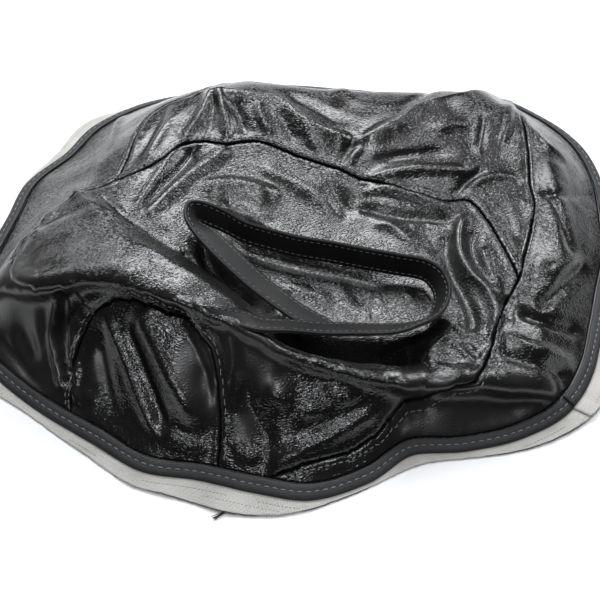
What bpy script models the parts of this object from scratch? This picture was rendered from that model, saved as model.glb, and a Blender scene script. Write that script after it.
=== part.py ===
"""Slip-on leather cover, empty and slumped, with a grab strap and a bound canvas hem.

Run with: blender --background --python part.py
Metres, +Z up; the sizes and tables below are in millimetres. The origin is the middle of the
cover's footprint, on the floor. +X runs along the long side to the right, +Y to the back.
The tables have their own origin in plan, and world() moves their points to the final one.
"""
import math
from collections import namedtuple

import bpy
import bmesh
import numpy as np
from mathutils import Vector
from mathutils.geometry import delaunay_2d_cdt

# ---------------------------------------------------------------- driving dimensions, mm
MM = 0.001
LEATHER = 1.6          # leather thickness
SEAM_GAP = 0.8         # each panel stops this far from the seam line
RIM_GAP = 0.3          # and this far from the rim line
MAX_PULL = 3.0         # furthest a panel corner is drawn in by those gaps
TAPE = 0.9             # thickness of the tape under a seam
TAPE_HALF = 9.0        # half the width of that tape
TAPE_CLEAR = 0.9       # gap between leather and tape
STITCH_OFF = 5.0       # topstitch row to seam line
STITCH_CLEAR = 0.7     # gap between leather and topstitching
THREAD_R = 0.45
BINDING_W = 12.5       # width of the charcoal band round the rim
BINDING_T = 2.2
BINDING_START = 1.6    # rim line to the binding's inner edge
BINDING_EDGE_Z = 2.7   # height of the binding's outer edge
BINDING_MID_Z = 3.1    # least height of its middle
BINDING_MID_DROP = 0.72  # height of its middle over that of the rim
BINDING_STITCH = 9.2   # rim line to the binding's stitching
BINDING_CLEAR = 0.45   # gap between binding and its stitching
CANVAS_T = 1.0
CANVAS_IN = 8.0        # how far the canvas runs in under the leather
CANVAS_MID = 8.0       # rim line to the middle row of canvas points
STRAP_FACE = 1.1       # each strap leather
STRAP_CORE = 0.8       # webbing between them
STRAP_CLEAR = 0.85     # gap between webbing and each leather
STRAP_CORE_INSET = 0.1     # webbing inset from each edge, as a part of the strap's width
STRAP_STITCH_INSET = 0.14  # stitching inset from each edge, likewise
STRAP_STITCH_CLEAR = 0.8
STRAP_PIVOT_AT = (0, -118, 84)
PATCH = 26             # side of a patch under the strap's ends
PATCH_T = 1.2
PATCH_DROP = 2.4       # leather's underside to the middle of a patch
PATCHES = {"left": (-74, -86), "right": (18, -84)}

# mesh spacing, mm
GRID = 31.0            # across the panels
ROW_PITCH = GRID * 0.87
GRID_CLEAR = 0.62 * GRID   # grid points keep this far from earlier ones
SHOULDER_CLEAR = 14.0
TAPE_CLEAR_PLAN = 7.5
STATION = 21.0         # along seams and rim
ARCH_STATION = 17.0
ARC_RADIUS = 300       # nominal rim radius, for counting stations along an arc
STRAP_SAMPLE = 2.0     # sampling of the strap before its stations are picked
STRAP_STATION = 24.0   # longest run between strap stations
STRAP_TURN = 15        # largest turn between strap stations, degrees

CENTRE = (10.0, 60.0)  # the sections radiate from here
STEP = 10.0            # degrees between sections, counter-clockwise from +X
END_CLEAR = 1.9        # rim stations keep this many degrees from the seam ends
LAST_STATION = 358.5   # and stop before this angle
# parts of the rim with their own binding and canvas: start and end angle
ARCS = {"front": (184.0, 321.5), "right": (322.3, 43.0), "back": (43.8, 183.2)}
THREAD_END = 0.6       # degrees from an arc's end to the end of its stitching
THREAD_STEP = 3.2      # nominal degrees between points of that stitching

Section = namedtuple(
    "Section", "shoulder_radius shoulder_height rim_radius rim_height steepness canvas_margin")
# one row per section: the fields of Section; steepness is that of the skirt
SECTIONS = np.array([
    (255, 44, 303, 5, 1.0, 27), (262, 48, 316, 5, 1.0, 18), (274, 52, 334, 6, 1.0, 15),
    (288, 52, 348, 7, 1.0, 15), (288, 54, 348, 8, 1.0, 15), (268, 59, 338, 8, 1.0, 15),
    (232, 62, 300, 8, 1.0, 15), (213, 64, 282, 8, 1.0, 15), (203, 65, 276, 8, 1.0, 15),
    (203, 66, 278, 8, 1.0, 15), (213, 67, 286, 8, 1.0, 15), (226, 68, 294, 8, 1.0, 15),
    (234, 66, 302, 8, 1.0, 15), (238, 66, 314, 7, 1.0, 16), (236, 62, 318, 6, 1.0, 27),
    (232, 60, 310, 6, 1.0, 24), (228, 62, 320, 6, 1.0, 16), (232, 64, 316, 6, 1.0, 15),
    (260, 62, 322, 5, 1.2, 18), (292, 60, 334, 6, 1.4, 24), (292, 62, 336, 6, 1.8, 29),
    (224, 90, 317, 6, 1.5, 26), (194, 97, 300, 6, 1.3, 22), (183, 99, 288, 6, 1.2, 26),
    (179, 97, 286, 6, 1.1, 29), (180, 90, 273, 6, 1.1, 36), (184, 80, 272, 6, 1.1, 37),
    (187, 70, 275, 6, 1.1, 22), (197, 62, 263, 6, 1.2, 18), (208, 55, 246, 6, 1.4, 25),
    (226, 48, 263, 6, 1.4, 22), (248, 43, 281, 6, 1.4, 27), (270, 36, 293, 6, 1.2, 31),
    (252, 38, 292, 6, 1.0, 34), (250, 38, 288, 5, 1.0, 34), (250, 41, 291, 4, 1.0, 32),
])
# (x, y, height) across the top, inside the shoulder
TOP = [
    # the roll along the front left
    (-245, -8, 76), (-205, -12, 92), (-165, -20, 101), (-128, -38, 105), (-92, -58, 105),
    (-58, -80, 99),
    # behind the roll
    (-200, 52, 80), (-160, 38, 80), (-120, 5, 76), (-85, -30, 67), (-45, -66, 57),
    # the hollow within the strap loop and under its front run
    (-30, -86, 68), (0, -99, 46), (30, -105, 44), (60, -110, 45), (95, -113, 45),
    (130, -114, 44), (-20, -66, 54), (-55, 30, 58), (-20, -10, 47), (30, -28, 42),
    (80, -28, 42), (115, -30, 44), (10, -66, 40), (50, -72, 42), (90, -74, 42),
    (125, -72, 42), (60, 10, 44), (-20, 60, 52), (40, 60, 47), (100, 50, 46),
    # right of the loop
    (160, -20, 46), (190, 20, 50), (208, -17, 50), (180, -80, 46), (160, 70, 50),
    # the back of the top panel, up to its seam
    (-160, 110, 78), (-100, 142, 74), (-40, 150, 70), (0, 140, 65), (60, 122, 60),
    (120, 112, 56), (170, 110, 54), (-70, 90, 66), (30, 100, 56), (110, 84, 50),
    # the crest along the back
    (-123, 205, 84), (-94, 224, 88), (-55, 222, 86), (0, 188, 80), (58, 162, 74),
    (112, 192, 78), (166, 214, 78), (220, 240, 62),
    # the back slope
    (0, 240, 72), (60, 235, 68), (120, 250, 66), (-60, 262, 75), (180, 260, 62),
    # right back and right end
    (200, 160, 62), (235, 165, 56), (240, 90, 52), (225, 30, 48),
    # left end
    (-173, 162, 74), (-150, 205, 76), (-200, 120, 62), (-215, 84, 68), (-240, 60, 62),
]
# Seam lines in plan, (x, y). Their ends are moved onto the rim or onto the seam they meet.
LEFT_SEAM = [
    (-80, 340), (-88, 290), (-105, 245), (-125, 228), (-148, 225), (-165, 206), (-174, 172),
    (-179, 132), (-190, 97), (-214, 89), (-237, 78), (-255, 54), (-266, 24), (-271, -4),
    (-260, -31), (-237, -46), (-210, -52), (-187, -60)]
ARCH_SEAM = [
    (-204, -138), (-206, -113), (-204, -98), (-198, -84), (-186, -73), (-168, -70),
    (-150, -74), (-134, -81), (-118, -90), (-101, -101), (-88, -113), (-77, -125),
    (-72, -142), (-69, -164), (-69, -184), (-71, -199)]
RIGHT_SEAM = [
    (252, 318), (248, 270), (246, 216), (244, 164), (239, 115), (239, 84), (231, 52),
    (219, 15), (209, -16), (195, -41), (180, -76), (169, -108), (154, -130), (134, -138),
    (112, -146), (92, -151), (79, -161), (64, -176), (40, -191), (0, -203), (-26, -211)]
BACK_SEAM = [
    (-190, 97), (-160, 109), (-142, 124), (-124, 145), (-102, 153), (-76, 152), (-42, 158),
    (0, 142), (39, 127), (66, 115), (99, 107), (124, 98), (150, 90), (173, 90), (188, 62),
    (200, 24), (209, -16)]
# topstitching: seam -> (point spacing, offset to the left of the seam's direction)
STITCH_ROWS = {
    "back": (10.5, STITCH_OFF),
    "right": (10.5, STITCH_OFF),
    "left": (10.5, -STITCH_OFF),
    "arch": (9.0, STITCH_OFF),
}
# the strap band: edge outside the loop x, y, z, then edge inside the loop x, y, z
STRAP = [
    (-68, -106, 100, -61, -90, 101), (-50, -113, 97, -46, -96, 92), (-32, -118, 91, -33, -98, 84),
    (-6, -113, 84, -10, -92, 75), (20, -109, 76, 16, -87, 66), (50, -104, 70, 47, -82, 59),
    (84, -99, 66, 79, -78, 53), (108, -89, 66, 100, -73, 49), (125, -79, 68, 115, -68, 48),
    (134, -66, 70, 121, -60, 49), (138, -50, 72, 125, -49, 51), (136, -36, 73, 125, -39, 51),
    (130, -24, 74, 123, -31, 51), (117, -14, 74, 115, -19, 50), (94, -8, 74, 93, -12, 49),
    (62, 0, 74, 61, -4, 49), (29, 9, 74, 28, 5, 49), (-1, 14, 76, -2, 10, 51),
    (-29, 20, 80, -30, 16, 55), (-52, 24, 86, -54, 19, 62), (-71, 32, 93, -74, 25, 70),
    (-90, 37, 99, -91, 28, 77), (-104, 35, 102, -96, 26, 81), (-109, 25, 102, -94, 20, 83),
    (-107, 10, 101, -88, 14, 87), (-97, -8, 98, -77, 4, 90), (-80, -28, 93, -61, -12, 86),
    (-64, -43, 87, -46, -26, 80), (-47, -57, 80, -30, -39, 73), (-32, -67, 74, -15, -49, 67),
    (-18, -76, 69, -3, -57, 62), (-6, -83, 65, 8, -63, 58), (8, -89, 61, 21, -69, 54),
    (19, -94, 58, 31, -74, 51),
]

# ---------------------------------------------------------------- finishes
BLACK = (0.018, 0.018, 0.02)
PANEL_LEATHER = dict(colour=BLACK, roughness=0.32)
STRAP_LEATHER = dict(colour=BLACK, roughness=0.4)
WEBBING = dict(colour=(0.06, 0.06, 0.06), roughness=0.9)
PATCHING = dict(colour=(0.06, 0.06, 0.06), roughness=0.8)
TAPING = dict(colour=(0.05, 0.05, 0.05), roughness=0.8)
CHARCOAL = dict(colour=(0.045, 0.045, 0.05), roughness=0.55)
CANVAS = dict(colour=(0.52, 0.50, 0.46), roughness=0.9)
DARK_THREAD = dict(colour=(0.10, 0.10, 0.11), roughness=0.6)
GREY_THREAD = dict(colour=(0.45, 0.45, 0.45), roughness=0.6)


# ---------------------------------------------------------------- the shape of the sheet
PLATE_UNIT = 100.0       # the thin plate is solved in units of this many mm
PLATE_SMOOTHING = 0.025  # how far the plate may relax from its points


def catmull_rom(a, b, c, d, f):
    """Point at fraction f between b and c."""
    return 0.5 * (2 * b + (c - a) * f + (2 * a - 5 * b + 4 * c - d) * f**2
                  + (3 * b - a - 3 * c + d) * f**3)


def periodic(values, theta):
    """Smooth closed curve through values given every STEP degrees."""
    n = len(values)
    t = (np.asarray(theta, float) % 360.0) / STEP
    i = np.floor(t).astype(int)
    return catmull_rom(*(values[(i + k) % n] for k in (-1, 0, 1, 2)), t - i)


def section(theta):
    return Section(*(periodic(column, theta) for column in SECTIONS.T))


def rim_point(theta, out=0.0):
    """Plan point on the rim, moved outwards."""
    r = section(theta).rim_radius + out
    a = np.radians(theta)
    return np.stack([CENTRE[0] + r * np.cos(a), CENTRE[1] + r * np.sin(a)], -1)


def kernel(points, nodes):
    """Thin plate kernel between every point and every node."""
    d2 = ((points[:, None] - nodes[None]) ** 2).sum(-1)
    return 0.5 * d2 * np.log(d2 + 1e-9)


def thin_plate(points):
    """Nodes and weights of the thin plate through the height points."""
    p = np.asarray(points, float)
    nodes, z, n = p[:, :2] / PLATE_UNIT, p[:, 2], len(p)
    linear = np.hstack([np.ones((n, 1)), nodes])
    system = np.zeros((n + 3, n + 3))
    system[:n, :n] = kernel(nodes, nodes) + np.eye(n) * PLATE_SMOOTHING
    system[:n, n:] = linear
    system[n:, :n] = linear.T
    return nodes, np.linalg.solve(system, np.concatenate([z, np.zeros(3)]))


SHOULDER = []
for number, row in enumerate(SECTIONS):
    angle = math.radians(number * STEP)
    SHOULDER.append((CENTRE[0] + row[0] * math.cos(angle),
                     CENTRE[1] + row[0] * math.sin(angle), row[1]))
NODES, WEIGHTS = thin_plate(SHOULDER + TOP)


def height(x, y):
    """Height of the sheet over plan points: the thin plate on top, then the skirt to the rim."""
    dx, dy = x - CENTRE[0], y - CENTRE[1]
    r = np.hypot(dx, dy)
    cut = section(np.degrees(np.arctan2(dy, dx)))
    # beyond the shoulder, the plate is read at the shoulder
    k = np.minimum(r, cut.shoulder_radius) / np.maximum(r, 1e-6)
    q = np.stack([CENTRE[0] + dx * k, CENTRE[1] + dy * k], 1) / PLATE_UNIT
    top = kernel(q, NODES) @ WEIGHTS[:-3] + WEIGHTS[-3] + q @ WEIGHTS[-2:]
    u = np.clip((r - cut.shoulder_radius) / (cut.rim_radius - cut.shoulder_radius), 0, 1)
    return cut.rim_height + (top - cut.rim_height) * (1 - u) ** cut.steepness


# ---------------------------------------------------------------- lines in plan
def spline(points, spacing):
    """Catmull-Rom curve through the points, resampled evenly."""
    p = np.asarray(points, float)
    p = np.vstack([2 * p[0] - p[1], p, 2 * p[-1] - p[-2]])
    out = []
    for i in range(1, len(p) - 2):
        for f in np.linspace(0, 1, 24, endpoint=False):
            out.append(catmull_rom(*p[i - 1:i + 3], f))
    out.append(p[-2])
    out = np.array(out)
    s = np.concatenate([[0], np.cumsum(np.linalg.norm(np.diff(out, axis=0), axis=1))])
    n = max(2, int(round(s[-1] / spacing)) + 1)
    t = np.linspace(0, s[-1], n)
    return np.stack([np.interp(t, s, column) for column in out.T], 1)


def seam(table, start, end, spacing=STATION):
    """The seam of a table, with its two ends replaced."""
    return spline([tuple(start)] + table[1:-1] + [tuple(end)], spacing)


def angle_of(p):
    return math.degrees(math.atan2(p[1] - CENTRE[1], p[0] - CENTRE[0])) % 360


def to_rim(p):
    return rim_point(angle_of(p))


def side(line, off):
    """The line moved sideways; + is to the left of its direction."""
    t = np.gradient(line, axis=0)
    t /= np.linalg.norm(t, axis=1, keepdims=True)
    return line + np.stack([-t[:, 1], t[:, 0]], 1) * off


def nearest(line, p):
    return int(np.argmin(np.linalg.norm(line - np.asarray(p, float), axis=1)))


# KNOT, LEFT_JOIN and RIGHT_JOIN are the stations where one seam meets another
right = seam(RIGHT_SEAM, to_rim(RIGHT_SEAM[0]), to_rim(RIGHT_SEAM[-1]))
arch = seam(ARCH_SEAM, to_rim(ARCH_SEAM[0]), to_rim(ARCH_SEAM[-1]), ARCH_STATION)
KNOT = nearest(arch, LEFT_SEAM[-1])
left = seam(LEFT_SEAM, to_rim(LEFT_SEAM[0]), arch[KNOT])
LEFT_JOIN = nearest(left, BACK_SEAM[0])
RIGHT_JOIN = nearest(right, BACK_SEAM[-1])
back = seam(BACK_SEAM, left[LEFT_JOIN], right[RIGHT_JOIN])
SEAMS = {"left": left, "arch": arch, "right": right, "back": back}


def rim_angles():
    """Angles of the rim stations, with a station at every seam end."""
    ends = [angle_of(p) for p in (right[0], right[-1], arch[0], arch[-1], left[0])]
    angles, t = [], 0.0
    while t < 360:
        clear = all(min(abs(t - e), 360 - abs(t - e)) > END_CLEAR for e in ends)
        if clear and t < LAST_STATION:
            angles.append(t)
        t += math.degrees(STATION / float(section(t).rim_radius))
    return sorted(angles + ends)


thetas = rim_angles()
rim = np.array([rim_point(a) for a in thetas])


def rim_between(start, end):
    """Rim stations strictly between two rim points, going round counter-clockwise."""
    a = angle_of(start)
    span = (angle_of(end) - a) % 360
    k = [i for i, t in enumerate(thetas) if 1e-6 < (t - a) % 360 < span - 1e-6]
    k.sort(key=lambda i: (thetas[i] - a) % 360)
    return rim[k]


OUTLINES = {
    "top_panel": np.vstack([
        back[:-1], right[RIGHT_JOIN:], rim_between(arch[-1], right[-1])[::-1],
        arch[:KNOT:-1], left[:LEFT_JOIN:-1]]),
    "back_panel": np.vstack([
        left[:LEFT_JOIN], back[:-1], right[RIGHT_JOIN::-1], rim_between(right[0], left[0])]),
    "left_end_panel": np.vstack([
        left[:-1], arch[KNOT::-1], rim_between(left[0], arch[0])[::-1]]),
    "right_end_panel": np.vstack([right, rim_between(right[-1], right[0])]),
    "front_gusset_panel": np.vstack([arch, rim_between(arch[0], arch[-1])[::-1]]),
}


def inside(poly, q):
    """Even-odd test of points q against a closed outline."""
    x, y = q[:, 0], q[:, 1]
    hit = np.zeros(len(q), bool)
    for (x1, y1), (x2, y2) in zip(poly, np.roll(poly, -1, axis=0)):
        # a level edge divides by zero, but its first condition is already false
        with np.errstate(divide="ignore", invalid="ignore"):
            hit ^= ((y1 > y) != (y2 > y)) & (x < (x2 - x1) * (y - y1) / (y2 - y1) + x1)
    return hit


# ---------------------------------------------------------------- one triangulated sheet
verts, edges = [], []


def add_chain(line, closed=False):
    """Add a line as fixed edges, sharing points already there."""
    ids = []
    for p in line:
        for k, q in enumerate(verts):
            if abs(q[0] - p[0]) < 1e-3 and abs(q[1] - p[1]) < 1e-3:
                ids.append(k)
                break
        else:
            verts.append((float(p[0]), float(p[1])))
            ids.append(len(verts) - 1)
    edges.extend(zip(ids, ids[1:]))
    if closed:
        edges.append((ids[-1], ids[0]))
    return ids


def add_loose(points, clear):
    """Add the points that lie inside the rim and clear of those already there."""
    for p in points[inside(rim, points)]:
        if np.linalg.norm(np.array(verts) - p, axis=1).min() > clear:
            verts.append((float(p[0]), float(p[1])))


rim_ids = add_chain(rim, True)
seam_ids = {name: add_chain(line) for name, line in SEAMS.items()}
tape_ids = {}
for name, line in SEAMS.items():
    first = len(verts)
    for off in (TAPE_HALF, -TAPE_HALF):
        add_loose(side(line, off)[1:-1], TAPE_CLEAR_PLAN)
    tape_ids[name] = set(range(first, len(verts))) | set(seam_ids[name])
add_loose(np.array(SHOULDER)[:, :2], SHOULDER_CLEAR)
# a staggered grid fills the rest
row, y = 0, -260.0
while y < 380:
    start = -340.0 + (GRID / 2 if row % 2 else 0)
    add_loose(np.array([(x, y) for x in np.arange(start, 380, GRID)]), GRID_CLEAR)
    y += ROW_PITCH
    row += 1


def cross2(p, q):
    return p[:, 0] * q[:, 1] - p[:, 1] * q[:, 0]


cdt = delaunay_2d_cdt([Vector(p) for p in verts], edges, [], 0, 1e-5)
plan = np.array([tuple(v) for v in cdt[0]])
tris = np.array([list(f) for f in cdt[2]])
# index in verts -> index in plan
new_id = {old: new for new, olds in enumerate(cdt[3]) for old in olds}
is_rim = {new_id[k] for k in rim_ids}
mid = plan[tris].mean(1)
sheet = np.column_stack([plan, height(plan[:, 0], plan[:, 1])])
# turn every triangle face up; drop slivers and what lies outside the rim
turn = cross2(plan[tris[:, 1]] - plan[tris[:, 0]], plan[tris[:, 2]] - plan[tris[:, 0]])
tris[turn < 0] = tris[turn < 0][:, ::-1]
keep = (np.abs(turn) > 1.0) & inside(rim, mid)
tris, mid = tris[keep], mid[keep]


def facet(x, y):
    """Height and up-normal of the faceted sheet at a plan point."""
    a, b, c = plan[tris[:, 0]], plan[tris[:, 1]], plan[tris[:, 2]]
    to_point = np.array([x, y]) - a
    area = cross2(b - a, c - a)
    u = cross2(to_point, c - a) / area
    v = cross2(b - a, to_point) / area
    k = int(np.argmax(np.minimum(np.minimum(u, v), 1 - u - v)))
    a, b, c = sheet[tris[k]]
    n = np.cross(b - a, c - a)
    return a[2] + u[k] * (b[2] - a[2]) + v[k] * (c[2] - a[2]), n / np.linalg.norm(n)


def face_edges(f):
    return (f[0], f[1]), (f[1], f[2]), (f[2], f[0])


# ---------------------------------------------------------------- scene helpers
for thing in list(bpy.data.objects):
    bpy.data.objects.remove(thing, do_unlink=True)
COVER = bpy.data.collections.new("leather_cover")
bpy.context.scene.collection.children.link(COVER)


def arc_stations(a, b):
    span = (b - a) % 360
    count = max(3, int(round(math.radians(span) * ARC_RADIUS / STATION)) + 1)
    return np.linspace(a, a + span, count) % 360


# plan shift that centres the canvas's outer edge on the origin
footprint = np.array([rim_point(t, float(section(t).canvas_margin))
                      for arc in ARCS.values() for t in arc_stations(*arc)])
SHIFT = -(footprint.min(0) + footprint.max(0)) / 2


def world(points):
    return [((p[0] + SHIFT[0]) * MM, (p[1] + SHIFT[1]) * MM, p[2] * MM) for p in points]


STRAP_PIVOT = bpy.data.objects.new("strap_pivot", None)
STRAP_PIVOT.location = world([STRAP_PIVOT_AT])[0]
COVER.objects.link(STRAP_PIVOT)
# the strap's parts are parented through the pivot's world matrix
bpy.context.view_layer.update()


def material(name, colour, roughness):
    m = bpy.data.materials.new(name)
    m.use_nodes = True
    shader = m.node_tree.nodes["Principled BSDF"]
    shader.inputs["Base Color"].default_value = (*colour, 1)
    shader.inputs["Roughness"].default_value = roughness
    return m


def place(name, data, finish, parent=None):
    obj = bpy.data.objects.new(name, data)
    COVER.objects.link(obj)
    data.materials.append(material(name + "_material", **finish))
    if parent:
        obj.parent = parent
        obj.matrix_parent_inverse = parent.matrix_world.inverted()
    return obj


def shell(name, points, faces, thick, finish):
    """An open surface made thick by Solidify, half to each side."""
    mesh = bpy.data.meshes.new(name)
    used = sorted({i for f in faces for i in f})
    index = {old: new for new, old in enumerate(used)}
    mesh.from_pydata(world([points[i] for i in used]), [], [[index[i] for i in f] for f in faces])
    mesh.shade_smooth()
    mod = place(name, mesh, finish).modifiers.new("thickness", "SOLIDIFY")
    mod.thickness = thick * MM
    mod.offset = 0.0
    mod.use_even_offset = False


def cord(name, points, finish, parent=None):
    """A thread, as a poly curve with a round section and filled ends."""
    curve = bpy.data.curves.new(name, "CURVE")
    curve.dimensions = "3D"
    curve.bevel_depth = THREAD_R * MM
    curve.bevel_resolution = 0
    curve.use_fill_caps = True
    line = curve.splines.new("POLY")
    line.points.add(len(points) - 1)
    for slot, p in zip(line.points, world(points)):
        slot.co = (*p, 1)
    place(name, curve, finish, parent)


# ---------------------------------------------------------------- leather panels
def inward_move(before, here, after, gap_before, gap_after):
    """Plan move of a border point that opens the given gaps along its two edges."""
    d1, d2 = here - before, after - here
    d1, d2 = d1 / np.linalg.norm(d1), d2 / np.linalg.norm(d2)
    inward = np.array([[-d1[1], d1[0]], [-d2[1], d2[0]]])
    if abs(np.linalg.det(inward)) > 0.25:
        move = np.linalg.solve(inward, [gap_before, gap_after])
        if np.linalg.norm(move) > MAX_PULL:
            move *= MAX_PULL / np.linalg.norm(move)
        return move
    # the edges are nearly in line
    n = inward[0] + inward[1]
    return n / np.linalg.norm(n) * max(gap_before, gap_after)


def edge_gap(a, b):
    return RIM_GAP if a in is_rim and b in is_rim else SEAM_GAP


def panel(name, outline):
    """The part of the sheet inside an outline, drawn in from its border."""
    mine = tris[inside(outline, mid)]
    half_edges = [e for f in mine.tolist() for e in face_edges(f)]
    known = set(half_edges)
    border = [(a, b) for a, b in half_edges if (b, a) not in known]
    following = dict(border)
    previous = {b: a for a, b in border}
    points = sheet.copy()
    for v, after in following.items():
        before = previous[v]
        q = plan[v] + inward_move(plan[before], plan[v], plan[after],
                                  edge_gap(before, v), edge_gap(v, after))
        points[v] = (q[0], q[1], facet(q[0], q[1])[0])
    shell(name, points, mine.tolist(), LEATHER, PANEL_LEATHER)


for name, outline in OUTLINES.items():
    panel(name, outline)


# ---------------------------------------------------------------- tape under each seam
normals = np.zeros_like(sheet)
for f in tris:
    normals[f] += np.cross(sheet[f[1]] - sheet[f[0]], sheet[f[2]] - sheet[f[0]])
# the small term covers points that no triangle uses
normals /= np.linalg.norm(normals, axis=1, keepdims=True) + 1e-12


def distance_to(line, q):
    a, b = line[:-1], line[1:]
    t = np.clip(((q - a) * (b - a)).sum(1) / ((b - a) ** 2).sum(1), 0, 1)
    return np.linalg.norm(a + (b - a) * t[:, None] - q, axis=1).min()


def largest_run(faces):
    """The largest set of triangles joined edge to edge."""
    edge_map = {}
    for i, f in enumerate(faces):
        for e in face_edges(f):
            edge_map.setdefault(frozenset(e), []).append(i)
    seen, best = set(), []
    for i in range(len(faces)):
        if i in seen:
            continue
        stack, run = [i], []
        seen.add(i)
        while stack:
            j = stack.pop()
            run.append(j)
            for e in face_edges(faces[j]):
                for k in edge_map[frozenset(e)]:
                    if k not in seen:
                        seen.add(k)
                        stack.append(k)
        if len(run) > len(best):
            best = run
    return [faces[i] for i in best]


taped = sheet - normals * (LEATHER / 2 + TAPE_CLEAR + TAPE / 2)
taken = set()
# each tape keeps off the points of the ones before it
for name in ("right", "left", "arch", "back"):
    members = {new_id[k] for k in tape_ids[name]}
    barred = is_rim | taken
    picked = [f for f, centre in zip(tris.tolist(), mid)
              if set(f) <= members and not set(f) & barred
              and distance_to(SEAMS[name], centre) < TAPE_HALF]
    faces = largest_run(picked)
    taken |= {v for f in faces for v in f}
    shell(name + "_seam_tape", taped, faces, TAPE, TAPING)


# ---------------------------------------------------------------- topstitching beside each seam
def stitch_row(line, off):
    """Points over the facets, each raised until the run to the next one clears them too."""
    lift = LEATHER / 2 + THREAD_R + STITCH_CLEAR
    row = side(line, off)[2:-2]

    def need(p):
        z, n = facet(p[0], p[1])
        return z + lift / max(n[2], 0.35)

    z = np.array([need(p) for p in row])
    for _ in range(4):
        for i in range(len(row) - 1):
            for f in (0.2, 0.4, 0.6, 0.8):
                short = need(row[i] * (1 - f) + row[i + 1] * f) - (z[i] * (1 - f) + z[i + 1] * f)
                if short > 0:
                    z[i] += short * (1 - f)
                    z[i + 1] += short * f
    return np.column_stack([row, z])


for name, (spacing, off) in STITCH_ROWS.items():
    cord(name + "_seam_thread", stitch_row(spline(SEAMS[name], spacing), off), DARK_THREAD)


# ---------------------------------------------------------------- rim: binding, stitching, canvas
def band(name, arc, cross, thick, finish):
    """A strip round part of the rim. cross gives (distance out, height) across it at an angle."""
    stations = arc_stations(*arc)
    cuts = [cross(t) for t in stations]
    points = [(*rim_point(t, out), z) for t, cut in zip(stations, cuts) for out, z in cut]
    width = len(cuts[0])
    faces = []
    for i in range(len(stations) - 1):
        for j in range(width - 1):
            k = i * width + j
            faces.append([k, k + 1, k + width + 1, k + width])
    shell(name, points, faces, thick, finish)


def binding_cut(t):
    z = float(section(t).rim_height)
    return [(BINDING_START, z),
            (BINDING_START + BINDING_W * 0.5, max(BINDING_MID_Z, z * BINDING_MID_DROP)),
            (BINDING_START + BINDING_W, BINDING_EDGE_Z)]


def canvas_cut(t):
    margin = float(section(t).canvas_margin)
    return [(out, CANVAS_T / 2) for out in (-CANVAS_IN, CANVAS_MID, margin)]


def binding_thread(name, a, b):
    span = (b - a) % 360
    line = []
    for t in np.linspace(a + THREAD_END, a + span - THREAD_END, int(span / THREAD_STEP)):
        outs, heights = zip(*binding_cut(t % 360))
        z = np.interp(BINDING_STITCH, outs, heights) + BINDING_T / 2 + THREAD_R + BINDING_CLEAR
        line.append((*rim_point(t % 360, BINDING_STITCH), z))
    cord(name, line, GREY_THREAD)


for name, arc in ARCS.items():
    band("rim_binding_" + name, arc, binding_cut, BINDING_T, CHARCOAL)
    band("canvas_hem_" + name, arc, canvas_cut, CANVAS_T, CANVAS)
    binding_thread("binding_thread_" + name, *arc)


# ---------------------------------------------------------------- the grab strap
def band_normals(line):
    """Normals of the band, on the side of its inner leather."""
    run = np.gradient((line[:, :3] + line[:, 3:]) / 2, axis=0)
    n = np.cross(run, line[:, 3:] - line[:, :3])
    return n / np.linalg.norm(n, axis=1, keepdims=True)


def strap_stations(line, n):
    """Indices of the stations, closer together where the band turns."""
    pick, far = [0], 0.0
    for i in range(1, len(line)):
        far += float(np.linalg.norm(line[i, :3] - line[i - 1, :3]))
        turned = float(n[i] @ n[pick[-1]]) < math.cos(math.radians(STRAP_TURN))
        if far > STRAP_STATION or turned:
            pick.append(i)
            far = 0.0
    if pick[-1] != len(line) - 1:
        pick.append(len(line) - 1)
    return pick


dense = spline(STRAP, STRAP_SAMPLE)
dense_normals = band_normals(dense)
pick = strap_stations(dense, dense_normals)
edge_out = dense[pick, :3]
across = dense[pick, 3:] - edge_out
flat = dense_normals[pick]


def ribbon(name, inset, off, thick, finish):
    """A closed band along the strap, off its middle surface, with one flat section throughout."""
    lo, hi = inset, 1 - inset
    low, high = off - thick / 2, off + thick / 2
    cut = [(lo, low), ((lo + hi) / 2, low), (hi, low), (hi, high), ((lo + hi) / 2, high), (lo, high)]
    n, last = len(cut), len(edge_out) - 1
    points = [edge_out[i] + across[i] * f + flat[i] * d for i in range(last + 1) for f, d in cut]
    faces = []
    for i in range(last):
        for j in range(n):
            a, b = i * n + j, i * n + (j + 1) % n
            # the same diagonal on both sides, so that stacked layers stay parallel
            if j > 2:
                faces += [[a, b, a + n], [b, b + n, a + n]]
            else:
                faces += [[a, b, b + n], [a, b + n, a + n]]
    faces.append(list(range(n))[::-1])
    faces.append([last * n + j for j in range(n)])
    mesh = bpy.data.meshes.new(name)
    mesh.from_pydata(world(points), [], faces)
    bm = bmesh.new()
    bm.from_mesh(mesh)
    bmesh.ops.triangulate(bm, faces=bm.faces)
    bmesh.ops.recalc_face_normals(bm, faces=bm.faces)
    bm.to_mesh(mesh)
    bm.free()
    mesh.shade_smooth()
    place(name, mesh, finish, STRAP_PIVOT)


FACE_OFF = STRAP_CORE / 2 + STRAP_CLEAR + STRAP_FACE / 2
ribbon("strap_outer_leather", 0.0, -FACE_OFF, STRAP_FACE, STRAP_LEATHER)
ribbon("strap_core_webbing", STRAP_CORE_INSET, 0.0, STRAP_CORE, WEBBING)
ribbon("strap_inner_leather", 0.0, FACE_OFF, STRAP_FACE, STRAP_LEATHER)
thread_off = FACE_OFF + STRAP_FACE / 2 + THREAD_R + STRAP_STITCH_CLEAR
for name, f in (("outer", STRAP_STITCH_INSET), ("inner", 1 - STRAP_STITCH_INSET)):
    line = edge_out + across * f + flat * thread_off
    cord("strap_thread_" + name + "_edge", line, DARK_THREAD, STRAP_PIVOT)


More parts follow.
